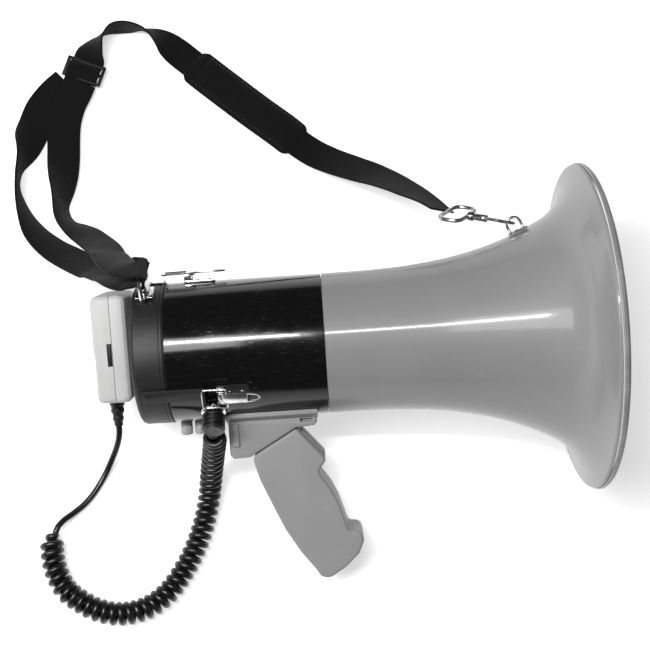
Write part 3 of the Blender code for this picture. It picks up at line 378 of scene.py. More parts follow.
def finish_for(key):
    """Each finish is made once, at its first use."""
    if key not in STORE:
        paint = colours()
        makers = {
            "bell": lambda: moulded("bell_grey", tuple(paint.bell), 0.4, coat=0.35),
            "grip": lambda: moulded("grip_grey", shade(paint.bell, 1.22), 0.42, 0.1),
            "barrel": lambda: gloss_black("barrel_black", tuple(paint.barrel), 0.1, 0.22),
            "cap": lambda: gloss_black("cap_black", tuple(paint.cap), 0.5, 0.5),
            "microphone": lambda: moulded("microphone_grey", tuple(paint.microphone), 0.42, 0.05),
            "knob": lambda: moulded("knob_grey", shade(paint.microphone, 0.72), 0.4, 0.05),
            "rim": lambda: rubber("rim_rubber", shade(paint.bell, 0.9), 0.33),
            "rubber": lambda: rubber("trim_rubber", tuple(paint.cord), 0.45),
            "cord": lambda: rubber("cord_jacket", tuple(paint.cord), 0.3),
            "dark": lambda: moulded("dark_plastic", (0.012, 0.012, 0.013), 0.4),
            "plate": lambda: plated("bright_plate", tuple(paint.plating), 0.17),
            "ring": lambda: plated("worn_plate", shade(paint.plating, 0.5), 0.22),
            "steel": lambda: brushed("zinc_steel", (0.5, 0.5, 0.51)),
            "webbing": lambda: woven("strap_webbing", tuple(paint.webbing)),
            "thread": lambda: rubber("sewing_thread", shade(paint.webbing, 2.6), 0.6),
            "pad": lambda: padding("pad_cloth", tuple(paint.webbing)),
            "board": lambda: printed_board("amplifier_green"),
            "cell": lambda: gloss_black("cell_wrap", (0.05, 0.055, 0.065), 0.3),
            "cone": lambda: moulded("diaphragm_amber", (0.16, 0.09, 0.03), 0.35),
        }
        STORE[key] = makers[key]()
    return STORE[key]


# ---------------------------------------------------------------- making pieces


def collection():
    made = bpy.data.collections.get("Megaphone")
    if made is None:
        made = bpy.data.collections.new("Megaphone")
        bpy.context.scene.collection.children.link(made)
    return made


def settle(obj, key, stands_for=(), body=None):
    """Gives a finished piece its finish, slot and body, and hides the nodes that it stands for."""
    if key is not None:
        obj.data.materials.clear()
        obj.data.materials.append(finish_for(key))
    if body is None:
        body = NODES[stands_for[0]]["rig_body"] if stands_for else "megaphone"
    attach(obj, body)
    if stands_for:
        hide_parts(*stands_for)
    return obj


def piece(name, bm, key, place=None, stands_for=(), body=None, smooth=38, recalc=True):
    """An object from a bmesh, with its place put into the mesh."""
    if place is not None:
        bmesh.ops.transform(bm, matrix=place, verts=bm.verts)
    if recalc:
        bmesh.ops.remove_doubles(bm, verts=bm.verts, dist=1e-6)
        bmesh.ops.recalc_face_normals(bm, faces=bm.faces)
    mesh = bpy.data.meshes.new(name)
    bm.to_mesh(mesh)
    bm.free()
    mesh.shade_smooth()
    mesh.set_sharp_from_angle(angle=math.radians(smooth))
    obj = bpy.data.objects.new(name, mesh)
    collection().objects.link(obj)
    return settle(obj, key, stands_for, body)


def rounded(bm, edges, width, segments):
    bmesh.ops.bevel(
        bm, geom=edges, offset=width, offset_type="OFFSET", affect="EDGES", segments=segments, profile=0.5,
        clamp_overlap=True, material=-1,
    )


def taken(result, kind):
    """The verts, edges or faces in what a bmesh operator gives back."""
    return [item for item in result["geom"] if isinstance(item, kind)]


def refined(node, key, edge=0.3 * MM, angle=32, segments=2):
    """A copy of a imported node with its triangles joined, its flats made whole and its edges softened."""
    bm = bmesh.new()
    bm.from_mesh(NODES[node].data)
    bmesh.ops.remove_doubles(bm, verts=bm.verts, dist=2e-6)
    bmesh.ops.dissolve_limit(bm, angle_limit=math.radians(0.6), verts=bm.verts, edges=bm.edges)
    if edge:
        sharp = [e for e in bm.edges if len(e.link_faces) == 2 and e.calc_face_angle(0.0) > math.radians(angle)]
        rounded(bm, sharp, edge, segments)
    return piece(node + "_finished", bm, key, stands_for=(node,), smooth=max(angle, 34), recalc=False)


def filleted(points, radius, steps=4):
    """A closed outline in two dimensions with each corner turned on a small arc."""
    out = []
    count = len(points)
    for i, point in enumerate(points):
        here = Vector(point[:2])
        size = point[2] if len(point) > 2 else radius
        back, ahead = Vector(points[i - 1][:2]) - here, Vector(points[(i + 1) % count][:2]) - here
        if size <= 0 or back.length < 1e-9 or ahead.length < 1e-9:
            out.append(here)
            continue
        half = back.angle(ahead) / 2
        reach = min(size / math.tan(half), back.length * 0.45, ahead.length * 0.45)
        start, end = here + back.normalized() * reach, here + ahead.normalized() * reach
        for step in range(steps + 1):
            t = step / steps
            out.append(start * (1 - t) ** 2 + here * 2 * t * (1 - t) + end * t**2)
    return out


def spun(section, steps=128, closed=True, place=LYING):
    """A section of (along, radius) pairs spun round the bell's axis."""
    bm = bmesh.new()
    verts = [bm.verts.new((along, 0, radius)) for along, radius in section]
    edges = [bm.edges.new(pair) for pair in zip(verts, verts[1:])]
    if closed:
        edges.append(bm.edges.new((verts[-1], verts[0])))
    bmesh.ops.spin(
        bm, geom=verts + edges, cent=(0, 0, 0), axis=(1, 0, 0), dvec=(0, 0, 0), angle=2 * math.pi, steps=steps,
        use_merge=True, use_duplicate=False,
    )
    bmesh.ops.remove_doubles(bm, verts=bm.verts, dist=2e-6)
    bmesh.ops.transform(bm, matrix=place, verts=bm.verts)
    return bm


def prism(outline, low, high):
    """A flat outline in X and Y extruded from low to high along Z, and the verts of its raised face."""
    bm = bmesh.new()
    face = bm.faces.new([bm.verts.new((x, y, low)) for x, y in outline])
    top = taken(bmesh.ops.extrude_face_region(bm, geom=[face]), bmesh.types.BMVert)
    bmesh.ops.translate(bm, verts=top, vec=(0, 0, high - low))
    bmesh.ops.recalc_face_normals(bm, faces=bm.faces)
    return bm, top


def plate(outline, low, high, edge, segments, place):
    """A prism with the edges round both its faces rounded."""
    bm, _ = prism(outline, low, high)
    rims = [e for e in bm.edges if abs(e.verts[0].co.z - e.verts[1].co.z) < 1e-7]
    rounded(bm, rims, edge, segments)
    bmesh.ops.transform(bm, matrix=place, verts=bm.verts)
    return bm


def brick(low, high, edge, place):
    """A box between two corners with its edges rounded."""
    bm = bmesh.new()
    low, high = Vector(low), Vector(high)
    bmesh.ops.create_cube(bm, size=1.0)
    bmesh.ops.scale(bm, vec=high - low, verts=bm.verts)
    bmesh.ops.translate(bm, vec=(low + high) / 2, verts=bm.verts)
    rounded(bm, bm.edges[:], edge, 2)
    bmesh.ops.transform(bm, matrix=place, verts=bm.verts)
    return bm


def aimed(place, direction):
    """A matrix with its Z along a direction, standing at a place."""
    return Matrix.Translation(Vector(place)) @ Vector(direction).to_track_quat("Z", "Y").to_matrix().to_4x4()


def rod(radius, length, place, sides, edge):
    """A round bar from the place along its Z, with softened ends."""
    bm = bmesh.new()
    bmesh.ops.create_cone(bm, cap_ends=True, segments=sides, radius1=radius, radius2=radius, depth=length)
    bmesh.ops.translate(bm, verts=bm.verts, vec=(0, 0, length / 2))
    ends = [e for e in bm.edges if len(e.link_faces) == 2 and e.calc_face_angle(0.0) > math.radians(50)]
    rounded(bm, ends, edge, 3)
    bmesh.ops.transform(bm, matrix=place, verts=bm.verts)
    return bm


def merged(*parts):
    """Several bmeshes in one."""
    whole = bmesh.new()
    for part in parts:
        held = bpy.data.meshes.new("held")
        part.to_mesh(held)
        part.free()
        whole.from_mesh(held)
        bpy.data.meshes.remove(held)
    return whole


def through(points, per_span):
    """Points on a smooth curve through the given ones, with any fourth value carried along."""
    rows = [Vector(point) for point in points]
    rows = [rows[0] * 2 - rows[1], *rows, rows[-1] * 2 - rows[-2]]
    out = []
    for a, b, c, d in zip(rows, rows[1:], rows[2:], rows[3:]):
        for step in range(per_span):
            t = step / per_span
            square, cube = 2 * a - 5 * b + 4 * c - d, 3 * b - a - 3 * c + d
            out.append(0.5 * (2 * b + (c - a) * t + square * t**2 + cube * t**3))
    out.append(rows[-2])
    return out


def on_floor(route):
    """A route in millimetres from the mark under the black and grey joint, in metres."""
    return [Vector(point[:3]) * MM + FLOOR_MARK for point in route]


def wire(points, radius, sides):
    """A round wire swept along points: a ring of verts extruded from each point to the next."""
    bm = bmesh.new()
    last = len(points) - 1

    def way(i):
        return (points[min(i + 1, last)] - points[max(i - 1, 0)]).normalized()

    turn = way(0).to_track_quat("Z", "Y")
    ring = bmesh.ops.create_circle(bm, cap_ends=False, segments=sides, radius=radius)["verts"]
    bmesh.ops.transform(bm, matrix=Matrix.Translation(points[0]) @ turn.to_matrix().to_4x4(), verts=ring)
    edges = start_edges = list({e for v in ring for e in v.link_edges})
    for i in range(1, last + 1):
        grown = bmesh.ops.extrude_edge_only(bm, edges=edges)
        ring, edges = taken(grown, bmesh.types.BMVert), taken(grown, bmesh.types.BMEdge)
        bend = way(i - 1).rotation_difference(way(i)).to_matrix().to_4x4()
        move = Matrix.Translation(points[i]) @ bend @ Matrix.Translation(-points[i - 1])
        bmesh.ops.transform(bm, matrix=move, verts=ring)
    bmesh.ops.holes_fill(bm, edges=start_edges + edges, sides=sides)
    return bm


def ribbon(rows, half, stations):
    """Cloth tape: a line of verts extruded from row to row, with a map of metres across and along.

    Each row is (centre, side, face). The line has one vert at each station across the tape."""
    bm = bmesh.new()
    cloth = bm.loops.layers.uv.new("cloth")
    across = [2 * k / (stations - 1) - 1 for k in range(stations)]
    centre, side, _ = rows[0]
    line = [bm.verts.new(centre + side * u * half) for u in across]
    edges = [bm.edges.new(pair) for pair in zip(line, line[1:])]
    run = 0.0
    for before, (centre, side, _) in zip(rows, rows[1:]):
        step = (centre - before[0]).length
        grown = bmesh.ops.extrude_edge_only(bm, edges=edges)
        verts, edges = taken(grown, bmesh.types.BMVert), taken(grown, bmesh.types.BMEdge)
        old = {}
        for edge in {e for v in verts for e in v.link_edges} - set(edges):
            new = edge.verts[0] if edge.verts[0] in verts else edge.verts[1]
            old[new] = edge.other_vert(new)
        order = {vert: k for k, vert in enumerate(line)}
        line = sorted(verts, key=lambda v: order[old[v]])
        for u, vert in zip(across, line):
            vert.co = centre + side * u * half
        place = {vert: k for k, vert in enumerate(line)}
        for made in taken(grown, bmesh.types.BMFace):
            for loop in made.loops:
                new = loop.vert in place
                k = place[loop.vert] if new else order[loop.vert]
                loop[cloth].uv = (across[k] * half, run + (step if new else 0.0))
        run += step
    return bm


def tape_rows(route, per_span):
    """Centre, side and face for each station of a route of x, y, z and turn."""
    rows = through(route, per_span)
    centres = on_floor(rows)
    out = []
    for i, centre in enumerate(centres):
        ahead = (centres[min(i + 1, len(centres) - 1)] - centres[max(i - 1, 0)]).normalized()
        level = Vector((0, 0, 1)).cross(ahead).normalized()
        upright = ahead.cross(level)
        turn = math.radians(rows[i][3])
        side = level * math.cos(turn) + upright * math.sin(turn)
        out.append((centre, side, ahead.cross(side)))
    return out


def run_of(rows):
    return sum((b[0] - a[0]).length for a, b in zip(rows, rows[1:]))


THREAD_LENGTH, THREAD_GAP, THREAD_RADIUS = 2.6 * MM, 1.3 * MM, 0.22 * MM


def stitches(rows, offsets, lift, start, end):
    """Sewn lines: short thread bars standing on the tape's face, one every few millimetres."""
    bars = []
    total = run_of(rows)
    for over in offsets:
        want, run = total * start, 0.0
        for a, b in zip(rows, rows[1:]):
            step = (b[0] - a[0]).length
            while want < run + step and want < total * end:
                t = (want - run) / step
                centre = a[0].lerp(b[0], t)
                side, face = a[1].lerp(b[1], t).normalized(), a[2].lerp(b[2], t).normalized()
                ahead = (b[0] - a[0]).normalized()
                middle = centre + side * over + face * lift
                reach, dip = ahead * THREAD_LENGTH / 2, face * THREAD_RADIUS * 0.9
                bars.append(wire([middle - reach - dip, middle, middle + reach - dip], THREAD_RADIUS, 5))
                want += THREAD_LENGTH + THREAD_GAP
            run += step
    return merged(*bars)


# ---------------------------------------------------------------- the horn


def flare_radius(along):
    made = sizes()
    return made.barrel_radius + made.flare_rise * (along / made.flare_length) ** 3


def bezier(a, b, c, d, steps):
    out = []
    for i in range(1, steps + 1):
        t = i / steps
        s = 1 - t
        out.append(Vector(a) * s**3 + Vector(b) * 3 * s * s * t + Vector(c) * 3 * s * t * t + Vector(d) * t**3)
    return out


def walled(line, thickness):
    """A closed section: a line of (along, radius) and its copy one wall further in."""
    inner = []
    for i, point in enumerate(line):
        ahead = (line[min(i + 1, len(line) - 1)] - line[max(i - 1, 0)]).normalized()
        inner.append(point + Vector((ahead.y, -ahead.x)) * thickness)
    return line + inner[::-1]


class MEGAPHONE_OT_bell(bpy.types.Operator):
    """The flared bell with its rim trim, and the reflector and throat inside it"""

    bl_idname = "megaphone.bell"
    bl_label = "Bell"

    def execute(self, context):
        made = sizes()
        gap = 0.15 * MM
        line = [Vector((-12 * MM, 46.6 * MM)), Vector((gap, 46.6 * MM))]
        line += [Vector((gap, made.barrel_radius - 0.5 * MM)), Vector((gap + 0.5 * MM, made.barrel_radius))]
        turn_at = 158 * MM
        line += [Vector((turn_at * i / 26, flare_radius(turn_at * i / 26))) for i in range(1, 27)]
        line += bezier(line[-1], (171 * MM, 85.3 * MM), (177 * MM, 98 * MM), (179.4 * MM, 112.4 * MM), 14)
        line += bezier(line[-1], (179.6 * MM, 113.6 * MM), (180.2 * MM, 114.2 * MM), (181.6 * MM, 114.2 * MM), 4)
        section = walled(line, made.wall)
        # The step at the joint is square on the outside and plain on the inside.
        for i, point in enumerate(section[len(line) :]):
            if point.x < 1.2 * MM:
                point.y = min(point.y, 44.1 * MM)
        piece("bell", spun(section, 144), "bell", stands_for=("horn_bell",), smooth=30)
        trim = [
            (183.9, 110.2, 0.3), (183.7, 112.4, 0.4), (182.0, 114.4, 0.3), (182.8, 115.0, 0.5),
            (184.8, 115.0, 0.9), (186.2, 113.9, 0.8), (186.5, 111.8, 0.8), (185.6, 110.2, 0.4),
        ]
        trim = [(x * MM, y * MM, r * MM) for x, y, r in trim]
        trim = spun(filleted(trim, 0.4 * MM, 3), 144)
        piece("bell_trim", trim, "rim", stands_for=("bell_rim_trim",), smooth=50)

        nose, skirt, cup = 118 * MM, 44 * MM, 36 * MM
        outer = [Vector((skirt, cup)), Vector((84 * MM, cup))]
        outer += bezier((84 * MM, cup), (104 * MM, cup), (nose, 24 * MM), (nose, 0.0), 14)
        inner = [Vector((113 * MM, 0.0))]
        inner += bezier((113 * MM, 0.0), (112 * MM, 20 * MM), (100 * MM, 33 * MM), (82 * MM, 33.5 * MM), 10)
        inner += [Vector((skirt, 33.5 * MM))]
        fins = []
        for i in range(3):
            turn = LYING @ Matrix.Rotation(math.radians(90 + 120 * i), 4, "X")
            fins.append(brick((48 * MM, 34.5 * MM, -1.2 * MM), (66 * MM, 46.7 * MM, 1.2 * MM), 0.4 * MM, turn))
        reflector = merged(spun(outer + inner, 96), *fins)
        piece("reflector", reflector, "bell", stands_for=("reflector_cup",))
        tube = [(-6.7, 8), (-6.7, 22), (-4, 22), (-4, 11), (40, 13), (86, 21), (86, 19), (40, 11)]
        tube = filleted([(x * MM, y * MM) for x, y in tube], 0.5 * MM, 3)
        piece("throat", spun(tube, 80), "dark", stands_for=("throat_tube",))
        return {"FINISHED"}


# ---------------------------------------------------------------- barrel and rear cap


class MEGAPHONE_OT_barrel(bpy.types.Operator):
    """The black barrel, its rear cap, the seal between them and the marks of use on the cap"""

    bl_idname = "megaphone.barrel"
    bl_label = "Barrel and cap"

    def execute(self, context):
        made = sizes()
        outside, inside, seam, rear = made.barrel_radius, made.barrel_radius - made.wall, made.seam, made.rear
        start = seam + 1.1 * MM
        end, corner = -0.15 * MM, 0.5 * MM
        tube = [(start, inside, 0), (start, outside, corner), (end, outside, corner), (end, inside, 0)]
        piece("barrel", spun(filleted(tube, 0.5 * MM, 4), 144), "barrel", stands_for=("barrel_shell",))
        spigot = 46.6 * MM
        cap = [
            (rear, 0.0, 0), (rear, 20 * MM, 0), (rear + 0.35 * MM, 21 * MM, 0.3 * MM),
            (rear + 0.35 * MM, 30 * MM, 0.3 * MM), (rear, 31 * MM, 0.3 * MM),
            (rear, outside - 3.2 * MM, 0.8 * MM), (rear + 0.9 * MM, outside - 0.9 * MM, 1.4 * MM),
            (rear + 3.2 * MM, outside, 0.8 * MM), (seam - 2.4 * MM, outside, 0.3 * MM),
            (seam - 2.2 * MM, outside - 0.35 * MM, 0.1 * MM),
            (seam - 1.7 * MM, outside - 0.35 * MM, 0.1 * MM), (seam - 1.5 * MM, outside, 0.3 * MM),
            (seam, outside, 0.4 * MM), (seam, spigot, 0), (seam + 3.5 * MM, spigot, 0),
            (seam + 3.5 * MM, spigot - 2 * MM, 0), (rear + 3 * MM, spigot - 2 * MM, 1.5 * MM),
            (rear + 3 * MM, 0.0, 0),
        ]
        piece("cap", spun(filleted(cap, 0.3 * MM, 3), 144), "cap", stands_for=("rear_cap",))
        seal = [
            (seam + 0.3 * MM, spigot + 0.3 * MM), (seam + 0.3 * MM, outside - 0.3 * MM),
            (seam + 0.8 * MM, outside - 0.3 * MM), (seam + 0.8 * MM, spigot + 0.3 * MM),
        ]
        piece("seal", spun(filleted(seal, 0.2 * MM, 2), 144), "rubber", stands_for=("cap_seal",))
        return {"FINISHED"}


# ---------------------------------------------------------------- grip


GRIP_LINE = (
    (-56.5, -75.6), (-52, -93), (-44.6, -111), (-36.5, -130), (-26.5, -147), (-16.5, -160.5), (-13.5, -166),
    (-6.5, -167), (4.8, -159.8), (14.8, -150.5), (19, -141), (17.8, -136), (15.2, -134), (8.6, -133.6),
    (6.3, -124.8), (2.7, -112.8), (-2.3, -102.2), (-10.8, -89.6), (-4.9, -82), (-5.2, -79.6),
    (-20.4, -61.8), (-23.9, -57.1),
)

class MEGAPHONE_OT_grip(bpy.types.Operator):
    """The pistol grip: bracket, two shells, screws and the trigger"""

    bl_idname = "megaphone.grip"
    bl_label = "Grip"

    def execute(self, context):
        line = [(x * MM, y * MM) for x, y in GRIP_LINE]
        line = filleted(line, 7 * MM, 3)
        half, parting = 16.5 * MM, 0.15 * MM
        for side, node in ((1, "grip_shell_left"), (-1, "grip_shell_right")):
            bm, top = prism(line, side * parting, side * half)
            held = set(top)
            rim = [e for e in bm.edges if e.verts[0] in held and e.verts[1] in held]
            rounded(bm, rim, 4.6 * MM, 7)
            bmesh.ops.transform(bm, matrix=LYING, verts=bm.verts)
            piece(f"grip_half_{'near' if side > 0 else 'far'}", bm, "grip", stands_for=(node,), smooth=40)
        refined("grip_bracket", "grip", 0.55 * MM, 26, segments=3)
        refined("trigger", "grip", 0.35 * MM, 30)
        refined("trigger_pin", "steel", 0.3 * MM)
        refined("trigger_spring", "steel", 0)
        refined("trigger_switch", "dark")
        for i in (1, 2):
            refined(f"grip_screw_{i}", "steel", 0.25 * MM)
        return {"FINISHED"}


# ---------------------------------------------------------------- latches, knobs, rings


# Each latch's name, its angle round the barrel and where its lever pivots along it.
LATCHES = (("near", math.radians(-29), -72 * MM), ("top", math.radians(88), -93 * MM))


def on_barrel(along, angle):
    """A place on the barrel: Z points out from it, X along it, and angle 0 is the side facing up."""
    out = Vector((0, math.sin(angle), math.cos(angle)))
    side = Vector((0, math.cos(angle), -math.sin(angle)))
    place = Vector((along, 0, 0)) + out * sizes().barrel_radius
    return LYING @ Matrix.Translation(place) @ Matrix((Vector((1, 0, 0)), side, out)).transposed().to_4x4()


class MEGAPHONE_OT_latches(bpy.types.Operator):
    """The two draw latches that hold the rear cap"""

    bl_idname = "megaphone.latches"
    bl_label = "Latches"

    def execute(self, context):
        for name, angle, pivot in LATCHES:
            at = on_barrel(pivot, angle)
            key = "cap" if name == "near" else "plate"
            node = f"{name}_latch_base"
            corners = [(x * MM, y * MM) for x, y in ((-3, -6.5), (19, -6.5), (19, 6.5), (-3, 6.5))]
            base = plate(filleted(corners, 1.6 * MM), 0.3 * MM, 1.2 * MM, 0.2 * MM, 2, at)
            piece(f"{name}_latch_plate", base, key, stands_for=(node,))
            fixings = []
            for side in (-1, 1):
                ear = side * 5.2 * MM
                low, high = (-2.6 * MM, ear - 0.6 * MM, 1.0 * MM), (2.6 * MM, ear + 0.6 * MM, 6.4 * MM)
                fixings.append(brick(low, high, 0.4 * MM, at))
            for x in (6, 14.5):
                dome = [(1.1, 0), (1.1, 1.8), (1.5, 1.75), (1.9, 1.3), (2.1, 0.6), (2.15, 0)]
                turn = at @ Matrix.Translation((x * MM, 0, 0)) @ Matrix.Rotation(math.radians(-90), 4, "Y")
                fixings.append(spun([(a * MM, b * MM) for a, b in dome], 20, place=turn))
            piece(f"{name}_latch_fixings", merged(*fixings), "plate", stands_for=(node,))
            refined(f"{name}_latch_lever", "plate", 0.22 * MM, 38)
            refined(f"{name}_latch_bail", "plate", 0)
            refined(f"{name}_latch_keeper", key, 0.2 * MM)
        return {"FINISHED"}


class MEGAPHONE_OT_knobs(bpy.types.Operator):
    """The two ribbed control knobs and what they turn"""

    bl_idname = "megaphone.knobs"
    bl_label = "Knobs"

    def execute(self, context):
        for name in ("volume", "tone"):
            refined(f"{name}_knob", "knob", 0.35 * MM, 34, segments=3)
        refined("control_board", "board", 0.15 * MM)
        return {"FINISHED"}


class MEGAPHONE_OT_strap_fittings(bpy.types.Operator):
    """Rings, lugs, the snap hook with its gate, the swivel and the slide buckle"""

    bl_idname = "megaphone.strap_fittings"
    bl_label = "Strap fittings"

    def execute(self, context):
        refined("rear_strap_lug", "plate", 0.25 * MM)
        refined("rear_strap_ring", "plate", 0)
        refined("front_strap_lug", "plate", 0.25 * MM)
        refined("snap_hook", "ring", 0.2 * MM, 40)
        refined("snap_gate", "ring", 0.25 * MM)
        refined("strap_swivel", "ring", 0.3 * MM, 40)
        refined("slide_buckle", "dark", 0.4 * MM, segments=3)
        return {"FINISHED"}


# ---------------------------------------------------------------- microphone


MIC_BOTTOM = -30 * MM


class MEGAPHONE_OT_microphone(bpy.types.Operator):
    """The fist microphone: two shells, grille, talk button, hang clip and strain relief"""

    bl_idname = "megaphone.microphone"
    bl_label = "Microphone"

    def execute(self, context):
        refined("mic_front_shell", "microphone", 0.5 * MM, 30, segments=3)
        refined("mic_back_shell", "microphone", 0.5 * MM, 30, segments=3)
        refined("mic_talk_button", "dark", 0.35 * MM, segments=3)
        refined("mic_capsule", "steel", 0.4 * MM)
        refined("mic_cradle", "plate", 0.2 * MM)
        place = LYING @ aimed((-151 * MM, MIC_BOTTOM - 0.3 * MM, 0), (0, -1, 0))
        sleeve = []
        lengths = (0, 1.2, 1.6, 4.6, 5.0, 7.4, 7.8, 10.2, 10.6, 13.0, 13.4, 15.8, 16.2, 19.7)
        for i, reach in enumerate(lengths):
            body = 6.0 - 2.8 * reach / 19.7
            if i in (0, 1):
                body = 6.0
            elif i in (4, 5, 8, 9, 12):
                body -= 0.55
            sleeve.append((reach * MM, body * MM))
        section = [(0, 2.4 * MM)] + sleeve + [(19.7 * MM, 2.4 * MM)]
        place = place @ Matrix.Rotation(math.radians(-90), 4, "Y")
        bm = spun(filleted(section, 0.25 * MM, 2), 40, place=place)
        piece("mic_relief", bm, "rubber", stands_for=("mic_strain_relief",))
        return {"FINISHED"}


# ---------------------------------------------------------------- inside


class MEGAPHONE_OT_insides(bpy.types.Operator):
    """The driver, amplifier and batteries"""

    bl_idname = "megaphone.insides"
    bl_label = "Insides"

    def execute(self, context):
        for node, key, edge in (
            ("bulkhead", "steel", 0.3), ("driver_back_can", "steel", 0.4), ("driver_magnet", "dark", 0.5),
            ("driver_diaphragm", "cone", 0), ("amplifier_board", "board", 0.15), ("heat_sink", "steel", 0.2),
            ("battery_tray", "dark", 0.3),
        ):
            refined(node, key, edge * MM)
        for i in range(1, 6):
            refined(f"battery_cell_{i}", "cell", 0.4 * MM)
        refined("cord_socket", "plate", 0.3 * MM)
        return {"FINISHED"}


# ---------------------------------------------------------------- cord


TAIL_ROUTE = (
    (-144.2, -47.0, 27.2), (-144, -52, 24.8), (-144.9, -57.5, 20.1), (-147, -63.5, 13.9), (-150, -70, 8.4),
    (-153.6, -77.4, 4.4), (-158, -85, 2.9), (-163.5, -93, 2.8), (-170, -100, 3.2), (-177, -105.5, 4.6),
    (-183.2, -110, 6.9), (-187.4, -114.4, 8.7),
)
COIL_ROUTE = (
    (-189, -118, 9), (-191.5, -126, 8.8), (-191, -137, 8.8), (-188, -148, 8.8), (-182, -159, 8.8),
    (-172.5, -167, 8.8), (-161, -173.5, 8.8), (-148, -177, 8.8), (-135, -176.5, 8.8), (-122, -172, 8.8),
    (-111, -164, 8.8), (-102, -153, 8.8), (-94.5, -141, 8.8), (-88.5, -128.5, 8.8), (-84, -116, 8.8),
    (-81, -104, 9.8), (-79.5, -94, 13), (-79, -85, 20), (-78.8, -77, 31), (-78.8, -70, 44),
    (-79.1, -65, 57), (-80.2, -61.4, 70.2),
)


def eased(value):
    value = max(0.0, min(1.0, value))
    return value * value * (3 - 2 * value)


CURL_STEPS = 16


def curled(line, radius, pitch):
    """Points of a helix that runs along a line and closes onto it at both ends."""
    reach = [0.0]
    for a, b in zip(line, line[1:]):
        reach.append(reach[-1] + (b - a).length)
    total = reach[-1]
    heading = (line[1] - line[0]).normalized()
    side = heading.orthogonal().normalized()
    turns = round(total / pitch)
    count = turns * CURL_STEPS
    out, k = [], 0
    for i in range(count + 1):
        s = total * i / count
        while k < len(line) - 2 and reach[k + 1] < s:
            k += 1
            ahead = (line[k + 1] - line[k]).normalized()
            side = heading.rotation_difference(ahead) @ side
            heading = ahead
        centre = line[k].lerp(line[k + 1], (s - reach[k]) / (reach[k + 1] - reach[k]))
        side = (side - heading * side.dot(heading)).normalized()
        angle = 2 * math.pi * turns * i / count
        grown = radius * eased(s / (1.6 * pitch)) * eased((total - s) / (1.4 * pitch))
        out.append(centre + (side * math.cos(angle) + heading.cross(side) * math.sin(angle)) * grown)
    return out


class MEGAPHONE_OT_cord(bpy.types.Operator):
    """The microphone's curly cord, from its strain relief to the plug under the barrel"""

    bl_idname = "megaphone.cord"
    bl_label = "Curly cord"

    def execute(self, context):
        made = sizes()
        at = on_barrel(-79 * MM, math.radians(-48))
        sleeve = [(3.3, 0.0), (3.3, 6.0), (5.2, 7.0)]
        for i in range(4):
            low = 5.6 + 3.1 * i
            sleeve += [(low, 7.9), (low + 1.9, 7.9), (low + 2.2, 6.6), (low + 2.9, 6.6)]
        sleeve += [(18.0, 6.4), (18.0, 0.0)]
        outward = at @ Matrix.Rotation(math.radians(-90), 4, "Y")
        body = spun(filleted([(a * MM, b * MM) for a, b in sleeve], 0.5 * MM, 3), 48, place=outward)
        collar = rod(4.6 * MM, 8 * MM, at @ aimed((0, -3 * MM, 10.5 * MM), (0, -1, 0)), 32, 0.8 * MM)
        plug = piece("cord_plug_finished", merged(body, collar), "cord", stands_for=("cord_plug",))
        tail = through(on_floor(TAIL_ROUTE), 5)
        coil = curled(through(on_floor(COIL_ROUTE), 6), made.coil_radius - made.cord_radius, made.curl_pitch)
        line = tail + coil
        data = bpy.data.curves.new("curly_cord", "CURVE")
        data.dimensions = "3D"
        data.bevel_depth = made.cord_radius
        data.bevel_resolution = 3
        data.use_fill_caps = True
        spline = data.splines.new("POLY")
        spline.points.add(len(line) - 1)
        for point, place in zip(spline.points, line):
            point.co = (*place, 1.0)
        spline.use_smooth = True
        obj = bpy.data.objects.new("curly_cord", data)
        collection().objects.link(obj)
        settle(obj, "cord", ("cord_tail", "cord_coil"))
        return {"FINISHED"}


# ---------------------------------------------------------------- strap


FRONT_ROUTE = (
    (88.5, 91.4, 99.2, 40), (81.5, 103, 89, 33), (73, 116, 75, 22), (64, 129, 60, 15), (54, 141, 45, 10),
    (42, 152, 31, 6), (29, 163, 18, 3), (17, 173, 9, 0), (6.5, 182, 5, 0), (-3, 190.5, 4, 0),
)
PAD_ROUTE = (
    (3, 185, 4.4, 0), (-11, 197, 4, 0), (-31, 212.5, 4, 0), (-50, 228, 4, 0), (-67, 242, 4, 0),
    (-80, 253, 4.4, 0),
)
LEFT_ROUTE = (
    (-74, 248, 4, 0), (-83, 255.5, 3.6, 0), (-91, 262.5, 3.4, 0), (-101, 270, 5.5, 15), (-112, 275, 10, 45),
    (-124, 277.5, 13.6, 72), (-136, 278, 14, 82), (-147, 275.5, 14, 78), (-155.5, 268, 12.5, 62),
    (-160.6, 259, 9.8, 36), (-162.8, 251.2, 5.5, 8), (-164.6, 246.6, 8.4, 2), (-166.4, 241.9, 10.2, 0),
    (-168.2, 237.2, 8.4, 0), (-169.6, 232.8, 5.2, 0),
)
